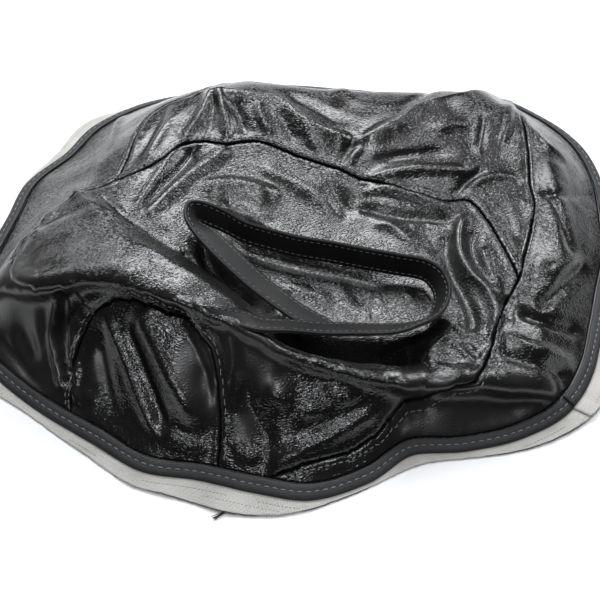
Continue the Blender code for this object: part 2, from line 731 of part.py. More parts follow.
# ---------------------------------------------------------------- patches at the strap's two ends
def patch(name, x, y):
    """A small square patch of 2 x 2 faces, hung just under the leather."""
    points = []
    for j in (-1, 0, 1):
        for i in (-1, 0, 1):
            px, py = x + i * PATCH / 2, y + j * PATCH / 2
            z, n = facet(px, py)
            points.append(np.array([px, py, z]) - n * (LEATHER / 2 + PATCH_DROP))
    faces = [[k, k + 1, k + 4, k + 3] for k in (0, 1, 3, 4)]
    shell(name, points, faces, PATCH_T, PATCHING)


for name, spot in PATCHES.items():
    patch("strap_patch_" + name, *spot)
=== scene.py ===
"""Slip-on leather cover with a canvas margin and a grab strap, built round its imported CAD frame.

The cover lies flat on the floor, +Z up, with its front towards -Y and its left end towards -X.
Tables are in millimetres of the plan frame; SHIFT and MM carry them into the shared frame.

The leather is one fine triangulated sheet with the sections, top heights and seams of the CAD
part. Folds are sculpted onto it with strokes, and it is then cut at the seams into its panels.
Stitches, tapes, rim band, canvas and strap are placed on that surface.
"""

import math
from collections import namedtuple

import bpy
import bmesh
import numpy as np
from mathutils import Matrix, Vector, noise
from mathutils.bvhtree import BVHTree
from mathutils.geometry import delaunay_2d_cdt


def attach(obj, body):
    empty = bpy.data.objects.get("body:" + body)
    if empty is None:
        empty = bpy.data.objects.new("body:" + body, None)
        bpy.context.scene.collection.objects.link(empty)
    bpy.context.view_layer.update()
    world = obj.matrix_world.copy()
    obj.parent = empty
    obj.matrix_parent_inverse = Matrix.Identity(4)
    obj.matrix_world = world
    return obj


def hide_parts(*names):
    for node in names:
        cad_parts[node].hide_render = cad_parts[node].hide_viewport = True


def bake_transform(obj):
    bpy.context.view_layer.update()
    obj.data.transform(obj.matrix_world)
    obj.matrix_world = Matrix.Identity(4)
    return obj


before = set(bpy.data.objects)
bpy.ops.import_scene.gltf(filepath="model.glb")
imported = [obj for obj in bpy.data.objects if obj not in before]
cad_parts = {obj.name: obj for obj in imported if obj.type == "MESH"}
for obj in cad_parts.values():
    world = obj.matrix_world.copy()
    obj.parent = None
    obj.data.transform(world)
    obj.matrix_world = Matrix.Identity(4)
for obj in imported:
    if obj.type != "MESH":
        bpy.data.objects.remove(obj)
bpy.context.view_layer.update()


MM = 0.001

# ---------------------------------------------------------------- driving dimensions, mm
STITCH_OFF = 5.0       # topstitch row to seam line
PITCH = 6.2            # seam stitches
BINDING_W = 12.5       # width of the charcoal band round the rim
CANVAS_IN = 8.0        # how far the canvas runs in under the leather
FINE = 2.6             # mesh spacing across the panels
STATION = 2.2          # mesh spacing along seams and rim
ARC_R = 300.0          # nominal rim radius, for lengths round the rim

CENTRE = (10.0, 60.0)  # the sections radiate from here
STEP = 10.0            # degrees between sections, counter-clockwise from +X
# (shoulder radius, shoulder height, rim radius, rim height, steepness of the skirt, canvas margin)
SECTIONS = [
    (255, 44, 303, 5, 1.0, 27), (262, 48, 316, 5, 1.0, 18), (274, 52, 334, 6, 1.0, 15),
    (288, 52, 348, 7, 1.0, 15), (288, 54, 348, 8, 1.0, 15), (268, 59, 338, 8, 1.0, 15),
    (232, 62, 300, 8, 1.0, 15), (213, 64, 282, 8, 1.0, 15), (203, 65, 276, 8, 1.0, 15),
    (203, 66, 278, 8, 1.0, 15), (213, 67, 286, 8, 1.0, 15), (226, 68, 294, 8, 1.0, 15),
    (234, 66, 302, 8, 1.0, 15), (238, 66, 314, 7, 1.0, 16), (236, 62, 318, 6, 1.0, 27),
    (232, 60, 310, 6, 1.0, 24), (228, 62, 320, 6, 1.0, 16), (232, 64, 316, 6, 1.0, 15),
    (260, 62, 322, 5, 1.2, 18), (292, 60, 334, 6, 1.4, 24), (292, 62, 336, 6, 1.8, 29),
    (224, 90, 317, 6, 1.5, 26), (194, 97, 300, 6, 1.3, 22), (183, 99, 288, 6, 1.2, 26),
    (179, 97, 286, 6, 1.1, 29), (180, 90, 273, 6, 1.1, 36), (184, 80, 272, 6, 1.1, 37),
    (187, 70, 275, 6, 1.1, 22), (197, 62, 263, 6, 1.2, 18), (208, 55, 246, 6, 1.4, 25),
    (226, 48, 263, 6, 1.4, 22), (248, 43, 281, 6, 1.4, 27), (270, 36, 293, 6, 1.2, 31),
    (252, 38, 292, 6, 1.0, 34), (250, 38, 288, 5, 1.0, 34), (250, 41, 291, 4, 1.0, 32),
]
RIM_R, RIM_Z, MARGIN = 2, 3, 5  # columns of SECTIONS
# (x, y, height) across the top, inside the shoulder
TOP = [
    # the roll along the front left
    (-245, -8, 76), (-205, -12, 92), (-165, -20, 101), (-128, -38, 105), (-92, -58, 105),
    (-58, -80, 99),
    # behind the roll
    (-200, 52, 80), (-160, 38, 80), (-120, 5, 76), (-85, -30, 67), (-45, -66, 57),
    # the hollow within the strap loop and under its front run
    (-30, -86, 68), (0, -99, 46), (30, -105, 44), (60, -110, 45), (95, -113, 45), (130, -114, 44),
    (-20, -66, 54), (-55, 30, 58), (-20, -10, 47), (30, -28, 42), (80, -28, 42), (115, -30, 44),
    (10, -66, 40), (50, -72, 42), (90, -74, 42), (125, -72, 42), (60, 10, 44), (-20, 60, 52),
    (40, 60, 47), (100, 50, 46),
    # right of the loop
    (160, -20, 46), (190, 20, 50), (208, -17, 50), (180, -80, 46), (160, 70, 50),
    # the back of the top panel, up to its seam
    (-160, 110, 78), (-100, 142, 74), (-40, 150, 70), (0, 140, 65), (60, 122, 60), (120, 112, 56),
    (170, 110, 54), (-70, 90, 66), (30, 100, 56), (110, 84, 50),
    # the crest along the back
    (-123, 205, 84), (-94, 224, 88), (-55, 222, 86), (0, 188, 80), (58, 162, 74), (112, 192, 78),
    (166, 214, 78), (220, 240, 62),
    # the back slope
    (0, 240, 72), (60, 235, 68), (120, 250, 66), (-60, 262, 75), (180, 260, 62),
    # right back and right end
    (200, 160, 62), (235, 165, 56), (240, 90, 52), (225, 30, 48),
    # left end
    (-173, 162, 74), (-150, 205, 76), (-200, 120, 62), (-215, 84, 68), (-240, 60, 62),
]
# seam lines, (x, y) in plan; their outer ends are moved onto the rim
LEFT_SEAM = [
    (-80, 340), (-88, 290), (-105, 245), (-125, 228), (-148, 225), (-165, 206), (-174, 172),
    (-179, 132), (-190, 97), (-214, 89), (-237, 78), (-255, 54), (-266, 24), (-271, -4),
    (-260, -31), (-237, -46), (-210, -52), (-187, -60)]
ARCH_SEAM = [
    (-204, -138), (-206, -113), (-204, -98), (-198, -84), (-186, -73), (-168, -70), (-150, -74),
    (-134, -81), (-118, -90), (-101, -101), (-88, -113), (-77, -125), (-72, -142), (-69, -164),
    (-69, -184), (-71, -199)]
RIGHT_SEAM = [
    (252, 318), (248, 270), (246, 216), (244, 164), (239, 115), (239, 84), (231, 52), (219, 15),
    (209, -16), (195, -41), (180, -76), (169, -108), (154, -130), (134, -138), (112, -146),
    (92, -151), (79, -161), (64, -176), (40, -191), (0, -203), (-26, -211)]
BACK_SEAM = [
    (-190, 97), (-160, 109), (-142, 124), (-124, 145), (-102, 153), (-76, 152), (-42, 158),
    (0, 142), (39, 127), (66, 115), (99, 107), (124, 98), (150, 90), (173, 90), (188, 62),
    (200, 24), (209, -16)]


# ---------------------------------------------------------------- the shape of the sheet
def catmull_rom(a, b, c, d, f):
    """The curve between b and c, at fraction f."""
    return 0.5 * (2 * b + (c - a) * f + (2 * a - 5 * b + 4 * c - d) * f**2
                  + (3 * b - a - 3 * c + d) * f**3)


def periodic(values, theta):
    """Smooth closed curve through values given every STEP degrees."""
    count = len(values)
    turn = (np.asarray(theta, float) % 360.0) / STEP
    i = np.floor(turn).astype(int)
    return catmull_rom(values[(i - 1) % count], values[i % count], values[(i + 1) % count],
                       values[(i + 2) % count], turn - i)


def section(theta):
    """The columns of SECTIONS at an angle."""
    return [periodic(column, theta) for column in np.array(SECTIONS, float).T]


def rim_point(theta, out=0.0):
    """Plan point on the rim, moved outwards."""
    radius = section(theta)[RIM_R] + out
    angle = np.radians(theta)
    return np.stack([CENTRE[0] + radius * np.cos(angle), CENTRE[1] + radius * np.sin(angle)], -1)


def kernel(squared):
    return 0.5 * squared * np.log(squared + 1e-9)


def thin_plate(points):
    """Thin plate through the height points: its knots and weights."""
    points = np.asarray(points, float)
    knots, count = points[:, :2] / 100.0, len(points)
    bending = kernel(((knots[:, None] - knots[None]) ** 2).sum(-1)) + np.eye(count) * 0.025
    plane = np.hstack([np.ones((count, 1)), knots])
    system = np.zeros((count + 3, count + 3))
    system[:count, :count], system[:count, count:], system[count:, :count] = bending, plane, plane.T
    return knots, np.linalg.solve(system, np.concatenate([points[:, 2], np.zeros(3)]))


SHOULDER = []
for number, (radius, tall, *_) in enumerate(SECTIONS):
    angle = math.radians(number * STEP)
    SHOULDER.append((CENTRE[0] + radius * math.cos(angle), CENTRE[1] + radius * math.sin(angle),
                     tall))
KNOTS, WEIGHTS = thin_plate(SHOULDER + TOP)


def height(x, y):
    """Height of the sheet in plan: the thin plate on top, then the skirt down to the rim."""
    dx, dy = x - CENTRE[0], y - CENTRE[1]
    radius = np.hypot(dx, dy)
    shoulder_r, _, rim_r, rim_z, steepness, _ = section(np.degrees(np.arctan2(dy, dx)))
    pull = np.minimum(radius, shoulder_r) / np.maximum(radius, 1e-6)
    at = np.stack([CENTRE[0] + dx * pull, CENTRE[1] + dy * pull], 1) / 100.0
    squared = ((at[:, None] - KNOTS[None]) ** 2).sum(-1)
    top = kernel(squared) @ WEIGHTS[:-3] + WEIGHTS[-3] + at @ WEIGHTS[-2:]
    down = np.clip((radius - shoulder_r) / (rim_r - shoulder_r), 0, 1)
    return rim_z + (top - rim_z) * (1 - down) ** steepness


# ---------------------------------------------------------------- lines in plan
def unit(vectors, tiny=0.0):
    return vectors / (np.linalg.norm(vectors, axis=1, keepdims=True) + tiny)


def run_of(line):
    """Distance along a polyline at each of its points."""
    return np.concatenate([[0], np.cumsum(np.linalg.norm(np.diff(line, axis=0), axis=1))])


def at_runs(line, runs):
    """Points of a polyline at given distances along it."""
    own = run_of(line)
    return np.stack([np.interp(runs, own, column) for column in line.T], 1)


def spline(points, spacing):
    """Catmull-Rom curve through the points, resampled evenly."""
    knots = np.asarray(points, float)
    knots = np.vstack([2 * knots[0] - knots[1], knots, 2 * knots[-1] - knots[-2]])
    curve = [catmull_rom(*knots[i - 1:i + 3], f) for i in range(1, len(knots) - 2)
             for f in np.linspace(0, 1, 24, endpoint=False)]
    curve = np.array(curve + [knots[-2]])
    full = run_of(curve)[-1]
    return at_runs(curve, np.linspace(0, full, max(2, int(round(full / spacing)) + 1)))


def resample(line, pitch, skip=0.0):
    """Points every pitch along a polyline, leaving out a length at both ends."""
    return at_runs(line, np.arange(skip, run_of(line)[-1] - skip, pitch))


def beside(line, off):
    """The line moved sideways; + is to the left of its direction."""
    tangent = unit(np.gradient(line, axis=0))
    return line + np.stack([-tangent[:, 1], tangent[:, 0]], 1) * off


def along(line, points):
    """Signed distance of points to a polyline (+ on its left), and how far along it they are."""
    best, sign, at = np.full(len(points), 1e9), np.ones(len(points)), np.zeros(len(points))
    run = 0.0
    for start, end in zip(line[:-1, :2], line[1:, :2]):
        step = end - start
        size = math.hypot(*step)
        if size < 1e-9:
            continue
        rel = points - start
        part = np.clip(rel @ step / size**2, 0, 1)
        gap = np.hypot(rel[:, 0] - part * step[0], rel[:, 1] - part * step[1])
        closer = gap < best
        best[closer], at[closer] = gap[closer], run + part[closer] * size
        turn = step[0] * rel[closer, 1] - step[1] * rel[closer, 0]
        sign[closer] = np.where(turn >= 0, 1.0, -1.0)
        run += size
    return best * sign, at


def inside(outline, points):
    """Even-odd test of points against a closed outline."""
    x, y = points[:, 0], points[:, 1]
    hit = np.zeros(len(points), bool)
    for (x1, y1), (x2, y2) in zip(outline, np.roll(outline, -1, axis=0)):
        with np.errstate(divide="ignore", invalid="ignore"):
            hit ^= ((y1 > y) != (y2 > y)) & (x < (x2 - x1) * (y - y1) / (y2 - y1) + x1)
    return hit


def angle_of(point):
    return math.degrees(math.atan2(point[1] - CENTRE[1], point[0] - CENTRE[0])) % 360


def to_rim(point):
    return rim_point(angle_of(point))


def nearest(line, point):
    return int(np.argmin(np.linalg.norm(line - np.asarray(point, float), axis=1)))


right = spline([to_rim(RIGHT_SEAM[0]), *RIGHT_SEAM[1:-1], to_rim(RIGHT_SEAM[-1])], STATION)
arch = spline([to_rim(ARCH_SEAM[0]), *ARCH_SEAM[1:-1], to_rim(ARCH_SEAM[-1])], STATION)
ARCH_MEET = nearest(arch, LEFT_SEAM[-1])  # where the left seam runs into the arch
left = spline([to_rim(LEFT_SEAM[0]), *LEFT_SEAM[1:-1], arch[ARCH_MEET]], STATION)
LEFT_MEET = nearest(left, BACK_SEAM[0])   # where the back seam leaves the left seam
RIGHT_MEET = nearest(right, BACK_SEAM[-1])
back = spline([left[LEFT_MEET], *BACK_SEAM[1:-1], right[RIGHT_MEET]], STATION)
LINES = {"left": left, "arch": arch, "right": right, "back": back}
SIDES = {"back": 1, "right": 1, "left": -1, "arch": 1}  # the stitched side of each seam

# rim stations: evenly spaced, with one exactly at each seam end
ends = sorted(angle_of(p) for p in (right[0], right[-1], arch[0], arch[-1], left[0]))
thetas, theta = [], 0.0
while theta < 360:
    thetas.append(theta)
    theta += math.degrees(STATION / float(section(theta)[RIM_R]))
thetas = [a for a in thetas
          if all(min(abs(a - e), 360 - abs(a - e)) > 0.2 for e in ends) and a < 359.8]
thetas = sorted(thetas + ends)
rim = np.array([rim_point(a) for a in thetas])


def rim_between(first, last):
    """Rim points counter-clockwise between two points on the rim, leaving those two out."""
    start = angle_of(first)
    span = (angle_of(last) - start) % 360
    picked = [i for i, a in enumerate(thetas) if 1e-6 < (a - start) % 360 < span - 1e-6]
    picked.sort(key=lambda i: (thetas[i] - start) % 360)
    return rim[picked]


OUTLINES = {
    "top_panel": np.vstack([
        back[:-1], right[RIGHT_MEET:], rim_between(arch[-1], right[-1])[::-1],
        arch[ARCH_MEET + 1:][::-1], left[LEFT_MEET + 1:][::-1]]),
    "back_panel": np.vstack([
        left[:LEFT_MEET], back[:-1], right[:RIGHT_MEET + 1][::-1],
        rim_between(right[0], left[0])]),
    "left_end_panel": np.vstack([
        left[:-1], arch[:ARCH_MEET + 1][::-1], rim_between(left[0], arch[0])[::-1]]),
    "right_end_panel": np.vstack([right, rim_between(right[-1], right[0])]),
    "front_gusset_panel": np.vstack([arch, rim_between(arch[0], arch[-1])[::-1]]),
}

# One fold a row: height, reach to the left, reach to the right, roundness
# | x y in plan, with an optional factor | length of the two end tapers as parts of the fold, lean.
# Tapers are 0.3 0.3 and the lean 0 where left out.
FOLD_TABLE = """
# front lip of the roll and the front ridge
11 30 4.5 1.5 | -325 -2, -286 -26, -249 -46, -214 -51, -187 -54, -160 -61, -139 -69, \
-119 -79, -101 -89 0.8, -84 -98 0.4 | 0.1 0.1 -2.5
8 13 6 1.5 | -115 -80 0.2, -98 -90 0.6, -87 -96, -76 -102, -59 -108, -46 -114, -32 -119, \
-21 -125, -6 -129, 13 -132, 35 -136, 55 -139, 85 -139, 116 -140 0.7 | 0.06 0.12 -2
8.5 22 5 1.5 | 72 -140 0.4, 99 -140, 116 -140, 150 -136, 186 -133, 223 -127, \
243 -126 0.7 | 0.12 0.1 -2
# the gap between the roll and the strap
-15 10 9 1.8 | -105 25 0.4, -82 -1, -57 -25, -32 -56, -22 -76 0.5 | 0.2 0.15
# rolled edge outside the arch
4.5 5 5 1.6 | -214 -99, -211 -85, -205 -72, -195 -65, -180 -64, -155 -67, -129 -75, \
-110 -86, -91 -102, -74 -119 | 0.15 0.15
# hollow behind the roll
-11 22 9 1.8 | -180 48 0.4, -155 28 0.7, -132 12, -110 -3, -84 -17, -58 -38, -33 -55 | 0.15 0.12
-3 9 9 1.8 | -265 33, -234 56, -203 50
3.5 8 8 1.5 | -162 0, -133 -33, -103 -58, -75 -78, -48 -88
# left end corner
5 6 8 1.3 | -243 117, -218 76, -193 41 | 0.2 0.3
-5 5 5 1.4 | -199 76, -180 51, -165 33
3 10 10 1.6 | -254 49, -263 110, -258 129
# pleats from the back left corner
6 11 15 1.7 | -72 150, -96 122, -121 90, -144 57, -159 27 | 0.1 0.25
-9 9 8 1.1 | -107 149, -125 109, -144 73, -159 35 | 0.1 0.25
3.5 5 6 1.5 | -128 142, -140 109, -152 75, -164 37 | 0.1 0.2
6 5 6 1.3 | -96 227, -103 195, -114 169, -125 146 | 0.05 0.2
6.5 6 6 1.3 | -91 225, -82 195, -78 173, -78 153 | 0.05 0.2
-5 6 6 1.5 | -92 215, -94 184, -98 158 | 0.2 0.3
-6 8 8 1.5 | -73 213, -63 186, -55 161 | 0.2 0.3
6 8 9 1.4 | -46 209, -40 186, -28 163 | 0.2 0.3
-4 7 7 1.5 | -24 201, -13 177, -2 155 | 0.2 0.3
3 8 8 1.5 | 2 180, 11 163, 22 145 | 0.2 0.3
4.5 8 8 1.5 | -129 201, -143 170, -154 135, -161 107
-4 6 6 1.5 | -144 220, -156 167, -172 119
3 7 7 1.5 | -209 308, -209 231, -204 152
# crest along the back
7 8 18 1.5 | -102 236 0.6, -76 222, -47 219, -22 216, -2 191, 27 172, 47 163, \
57 157 0.8 | 0.05 0.1 1.5
6.5 9 20 1.6 | 57 155 0.6, 81 171, 105 187, 131 211, 157 224, 196 254, \
253 327 0.8 | 0.08 0.08 1.5
-5 5 6 1.3 | 58 158, 50 148, 41 131 | 0.15 0.3
4 5 5 1.3 | 67 152, 56 143, 48 127
-5 9 9 1.5 | 70 137, 103 143, 139 149, 172 153
6 9 10 1.5 | 64 114, 94 123, 122 128, 150 128, 180 128 | 0.2 0.15
5 7 8 1.4 | 254 323, 227 207, 216 172, 208 142 | 0.1 0.3
-4 8 8 1.5 | 204 218, 196 180, 188 149
4 9 9 1.5 | 136 172, 162 184, 187 189
-3 8 8 1.5 | 93 202, 135 249, 196 352
# back slope
-5 14 14 1.6 | -27 249, 7 223, 39 195, 68 186
3 16 16 1.8 | 36 352, 54 245, 74 231, 100 238
# pinch at the right end of the back seam
7 8 10 1.4 | 61 98 0.6, 89 103, 116 95, 143 83, 163 74 | 0.2 0.15
-7 8 9 1.5 | 45 86 0.6, 76 79, 107 72, 138 68, 156 58 | 0.3 0.2
-8 4 5 1.2 | 154 93, 166 109, 179 122, 194 133 | 0.15 0.2
5 6 8 1.4 | 170 102, 189 118, 214 123, 235 115 | 0.2 0.3
8 8 8 1.4 | 170 76, 158 47, 156 19, 163 -9, 174 -27, 181 -48, 179 -71, 168 -92 | 0.12 0.15
-6 6 6 1.4 | 178 56, 169 30, 172 5, 182 -18 | 0.2 0.3
5 6 7 1.4 | 180 30, 180 4, 187 -23, 198 -35 | 0.2 0.3
3.5 9 9 1.6 | 230 93, 234 73, 228 57
-8 8 9 1.5 | 151 53 0.6, 143 22 0.8, 147 -8, 156 -38, 160 -66, 150 -87 | 0.12 0.15
-3 6 6 1.5 | 202 93, 210 61, 211 30
# right end
4 12 12 1.5 | 250 218, 264 184, 302 180
-3.5 4 5 1.3 | 241 103, 273 109, 327 157 | 0.1 0.2
4 12 12 1.5 | 227 -8, 252 7, 289 39
-6 8 8 1.5 | 198 -54, 233 -60, 274 -50 | 0.2 0.2
-6 7 8 1.5 | 291 35, 249 -20, 220 -53 | 0.15 0.2
-5 6 6 1.5 | 194 -12, 195 -44, 187 -71 | 0.2 0.2
-5 7 7 1.5 | 176 -101, 211 -110, 255 -101 | 0.2 0.2
5 10 12 1.5 | 181 -75, 204 -92, 234 -93, 265 -84
-3 6 6 1.5 | 251 129, 266 68, 272 19
# crumple in front of the strap's bend, on the right
5 4 5 1.3 | 115 -114, 117 -100, 128 -87, 144 -76 | 0.2 0.3
5 4 5 1.3 | 124 -119, 137 -127, 152 -119 | 0.3 0.3
4.5 4 4 1.3 | 138 -90, 147 -103, 155 -116 | 0.3 0.3
-5 3.5 3.5 1.3 | 122 -109, 132 -114, 144 -112 | 0.3 0.3
-5 3.5 3.5 1.3 | 112 -107, 113 -120, 118 -130 | 0.2 0.3
4 4 4 1.3 | 160 -118, 166 -105, 177 -93 | 0.3 0.3
-4 4 4 1.3 | 149 -92, 157 -103, 161 -112 | 0.3 0.3
4 6 6 1.4 | 141 -69, 151 -80, 167 -84 | 0.3 0.3
3 4 4 1.3 | 53 -116, 73 -124, 93 -128 | 0.3 0.3
# inside the arch
6 4 5 1.3 | -178 -73, -167 -91, -155 -114, -146 -134, -134 -158, -119 -181 | 0.12 0.2
-9 7 6 1.5 | -162 -81, -151 -101, -137 -130, -125 -156, -113 -180 | 0.15 0.2
9 16 14 1.7 | -146 -78, -131 -102, -113 -134, -96 -159, -86 -177 | 0.15 0.2
-6 12 12 1.6 | -115 -86, -98 -111, -84 -136, -77 -159 | 0.2 0.3
-5 10 8 1.5 | -183 -88, -177 -111, -169 -136, -157 -159 | 0.2 0.3
4 6 6 1.4 | -128 -160, -114 -175, -94 -184, -77 -187 | 0.3 0.3
3 5 5 1.4 | -193 -137, -183 -151, -167 -164 | 0.3 0.3
# left of the arch
8 8 5 1.4 | -215 -51, -225 -59, -229 -74, -223 -97, -214 -124 | 0.15 0.2
-12 6 6 1.7 | -213 -55, -219 -70, -215 -95, -207 -122 | 0.12 0.2
5 5 5 1.3 | -202 -63, -208 -78, -207 -101, -201 -123 | 0.2 0.2
5 4 4 1.3 | -215 -127, -206 -125, -198 -132, -193 -141 | 0.3 0.3
-5 3.5 3.5 1.3 | -209 -134, -200 -140, -195 -150 | 0.3 0.3
4 4 4 1.3 | -197 -121, -189 -133, -179 -139 | 0.3 0.3
-3.5 12 12 1.6 | -266 -47, -260 -66, -243 -94
3 10 10 1.6 | -242 -55, -242 -71, -230 -101
-4 3.5 3.5 1.3 | -285 -60, -263 -86, -245 -108, -229 -121 | 0.1 0.2
# front skirt
5 9 9 1.5 | -66 -109, -58 -125, -59 -146, -61 -166 | 0.2 0.3
5 12 10 1.5 | -31 -155, -19 -155, -6 -162 | 0.3 0.3
-5 12 12 1.6 | -52 -135, -43 -160, -28 -183, -18 -194 | 0.2 0.3
6 9 9 1.4 | -31 -204, -1 -193, 28 -180, 55 -164, 76 -150 | 0.15 0.2
-5 10 10 1.5 | -8 -182, 22 -168, 52 -154, 79 -143 | 0.2 0.3
5 9 9 1.4 | -8 -160, 15 -167, 38 -158, 58 -148 | 0.3 0.3
4 9 9 1.5 | 15 -146, 38 -153, 69 -147 | 0.3 0.3
-4 12 14 1.6 | -21 -131, 5 -142, 32 -146 | 0.2 0.3
3.5 6 6 1.4 | -61 -183, -47 -192, -31 -196 | 0.3 0.3
-6 16 14 1.6 | 72 -166, 103 -151, 140 -146, 186 -143, 224 -135 | 0.2 0.2
# hollow by the front run of the strap
-22 24 10 1.0 | -23 -106 0.6, -1 -98, 30 -103, 64 -109, 94 -109, 115 -99 0.7 | 0.12 0.12
-7 16 11 1.9 | -72 25, -35 12, 6 3, 43 -5, 79 -17, 108 -26 | 0.15 0.2
# top panel
3 14 14 1.7 | -57 140, -25 119, 14 96, 45 65
6 10 26 1.7 | -109 86, -79 99, -48 100, -17 89 | 0.25 0.25
-4 12 12 1.7 | -86 72, -55 65, -17 50
-3 12 12 1.7 | 30 120, 38 92, 56 65
3.5 10 10 1.6 | 68 65, 94 55, 119 23
3.5 12 12 1.6 | -23 -18, 6 -30, 35 -43
3.5 10 10 1.6 | 65 -5, 93 -25, 110 -45
-3 9 9 1.6 | 43 -10, 53 -29, 63 -48
-3 9 9 1.6 | 122 65, 131 33, 136 13
3 9 9 1.6 | -130 24, -114 6, -96 3
"""
Fold = namedtuple("Fold", "height left right roundness points tapers lean")


def read_fold(row):
    """One row of FOLD_TABLE; its points become (x, y, factor)."""
    shape, line, *rest = row.split("|")
    points = [([float(v) for v in point.split()] + [1.0])[:3] for point in line.split(",")]
    tail = [float(v) for v in rest[0].split()] if rest else [0.3, 0.3]
    lean = tail[2] if len(tail) > 2 else 0.0
    return Fold(*[float(v) for v in shape.split()], np.array(points), tail[:2], lean)


FOLDS = [read_fold(row) for row in FOLD_TABLE.splitlines() if row and row[0] != "#"]
# where the leather is drawn smooth, with less grain, more roughness and a painted sheen in its
# colour: x, y, reach
TIGHT = [
    (-239, -86, 34), (-271, -45, 34), (-260, -61, 30), (-181, -111, 12), (-87, -128, 20),
    (-79, -150, 16), (-47, -122, 22), (-28, -133, 20), (100, -158, 26), (124, -154, 24),
    (158, -150, 24), (194, -142, 22), (224, -133, 16), (-47, -174, 10), (-256, -42, 14),
    (-275, -21, 20),
]
# painted shade: lines along which the leather's sheen is darkened, in deep hollows where little light
# gets in, in shadowed zones beside the strap and on two skirts: reach, how dark, points
PAINTED_SHADOWS = [
    (11, 0.8, [(-18, -94), (-1, -87), (26, -89), (54, -96), (82, -98), (108, -92)]),
    (6, 0.8, [(110, -90), (123, -79), (133, -68)]),
    (6, 0.45, [(-69, 34), (-31, 24), (8, 10), (57, -9), (104, -28), (116, -45)]),
    (7, 0.5, [(-94, 16), (-78, -5), (-52, -36), (-33, -58)]),
    (16, 0.5, [(-192, 214), (-167, 228), (-144, 224)]),
    (18, 0.45, [(268, 231), (284, 186), (293, 136), (297, 86), (294, 42)]),
]

# ---------------------------------------------------------------- plan frame to shared frame
CAD_STATION = 21.0
CAD_ARCS = [(184.0, 321.5), (322.3, 43.0), (43.8, 183.2)]  # front, right and back runs, degrees


def arc(degrees):
    """Nominal length round the rim."""
    return math.radians(degrees) * ARC_R


def angle_at(start, run):
    """Angle reached from a start angle after a nominal length round the rim."""
    return (start + math.degrees(run / ARC_R)) % 360


def cad_stations(start, end):
    span = (end - start) % 360
    count = max(3, int(round(arc(span) / CAD_STATION)) + 1)
    return np.linspace(start, start + span, count) % 360


outer = np.array([rim_point(a, float(section(a)[MARGIN]))
                  for ends in CAD_ARCS for a in cad_stations(*ends)])
SHIFT = np.array([*(-(outer.min(0) + outer.max(0)) / 2), 0.0])

# ---------------------------------------------------------------- the fine sheet, in plan
verts, edges, index, cells = [], [], {}, {}
CELL = 2  # mm, of the look-up grid


def vertex(point):
    key = (round(float(point[0]), 2), round(float(point[1]), 2))
    if key not in index:
        index[key] = len(verts)
        cell = (int(point[0] // CELL), int(point[1] // CELL))
        cells.setdefault(cell, []).append(len(verts))
        verts.append((float(point[0]), float(point[1])))
    return index[key]


def chain(line, closed=False):
    """Adds a line whose edges the mesh must keep."""
    ids = [vertex(point) for point in line]
    edges.extend((a, b) for a, b in zip(ids, ids[1:]) if a != b)
    if closed:
        edges.append((ids[-1], ids[0]))


def add_loose(points, clearance):
    """Adds each point that has no vertex within the clearance."""
    for x, y in points:
        i, j = int(x // CELL), int(y // CELL)
        near = [verts[k] for di in (-1, 0, 1) for dj in (-1, 0, 1)
                for k in cells.get((i + di, j + dj), ())]
        if all(math.hypot(vx - x, vy - y) >= clearance for vx, vy in near):
            vertex((x, y))


chain(rim, True)
for line in LINES.values():
    chain(line)
for line in LINES.values():
    for gap in (1.2, -1.2, 2.6, -2.6, 4.9, -4.9, 7.2, -7.2):
        row = beside(line, gap)[1:-1]
        own = np.abs(along(line, row)[0]) > abs(gap) - 0.3
        add_loose(row[own & inside(rim, row)], 1.15)
for fold in FOLDS:
    if min(fold.left, fold.right) <= 6 and fold.height >= 8:  # steep folds need extra rows
        line = spline(fold.points[:, :2], 2.2)
        for gap in (0.0, -1.9, -3.8, -5.7, 1.9, 3.8):
            row = beside(line, gap)
            add_loose(row[inside(rim, row)], 1.5)
to_centre = np.array(CENTRE) - rim
for depth in (1.4, 3.4):
    add_loose(rim + to_centre * (depth / np.linalg.norm(rim - CENTRE, axis=1))[:, None], 1.2)

spots, y, number = [], -260.0, 0
while y < 380:
    xs = np.arange(-340.0 + (FINE / 2 if number % 2 else 0), 380, FINE)
    spots.append(np.stack([xs, np.full(len(xs), y)], 1))
    y += FINE * 0.87
    number += 1
spots = np.vstack(spots)
spots = spots[inside(rim[::4], spots)]
add_loose(spots[inside(rim, spots)], 1.6)

meshed = delaunay_2d_cdt([Vector(p) for p in verts], edges, [], 0, 1e-4)
plan = np.array([tuple(v) for v in meshed[0]])
tris = np.array([list(f) for f in meshed[2]])
side1, side2 = plan[tris[:, 1]] - plan[tris[:, 0]], plan[tris[:, 2]] - plan[tris[:, 0]]
turn = side1[:, 0] * side2[:, 1] - side1[:, 1] * side2[:, 0]
tris[turn < 0] = tris[turn < 0][:, ::-1]
middles = plan[tris].mean(1)
keep = (np.abs(turn) > 0.05) & inside(rim, middles)
tris, middles = tris[keep], middles[keep]
owner = np.full(len(tris), -1)
for number, outline in enumerate(OUTLINES.values()):
    owner[inside(outline, middles)] = number


def tri_edges(triangles):
    return np.vstack([triangles[:, [0, 1]], triangles[:, [1, 2]], triangles[:, [2, 0]]])


pairs = np.unique(np.sort(tri_edges(tris), axis=1), axis=0)
degree = np.bincount(pairs.ravel(), minlength=len(plan)).astype(float) + 1e-9
rim_gap = np.abs(along(np.vstack([rim, rim[:1]]), plan)[0])
on_rim = rim_gap < 0.02


def spread(values, passes):
    """Laplacian smoothing of the columns of a table with a row per vertex; the rim is held."""
    one, two = pairs.T
    for _ in range(passes):
        mean = np.stack([(np.bincount(one, column[two], len(plan)) +
                          np.bincount(two, column[one], len(plan))) / degree
                         for column in values.T], 1)
        step = (mean - values) * 0.5
        step[on_rim] = 0
        values = values + step
    return values


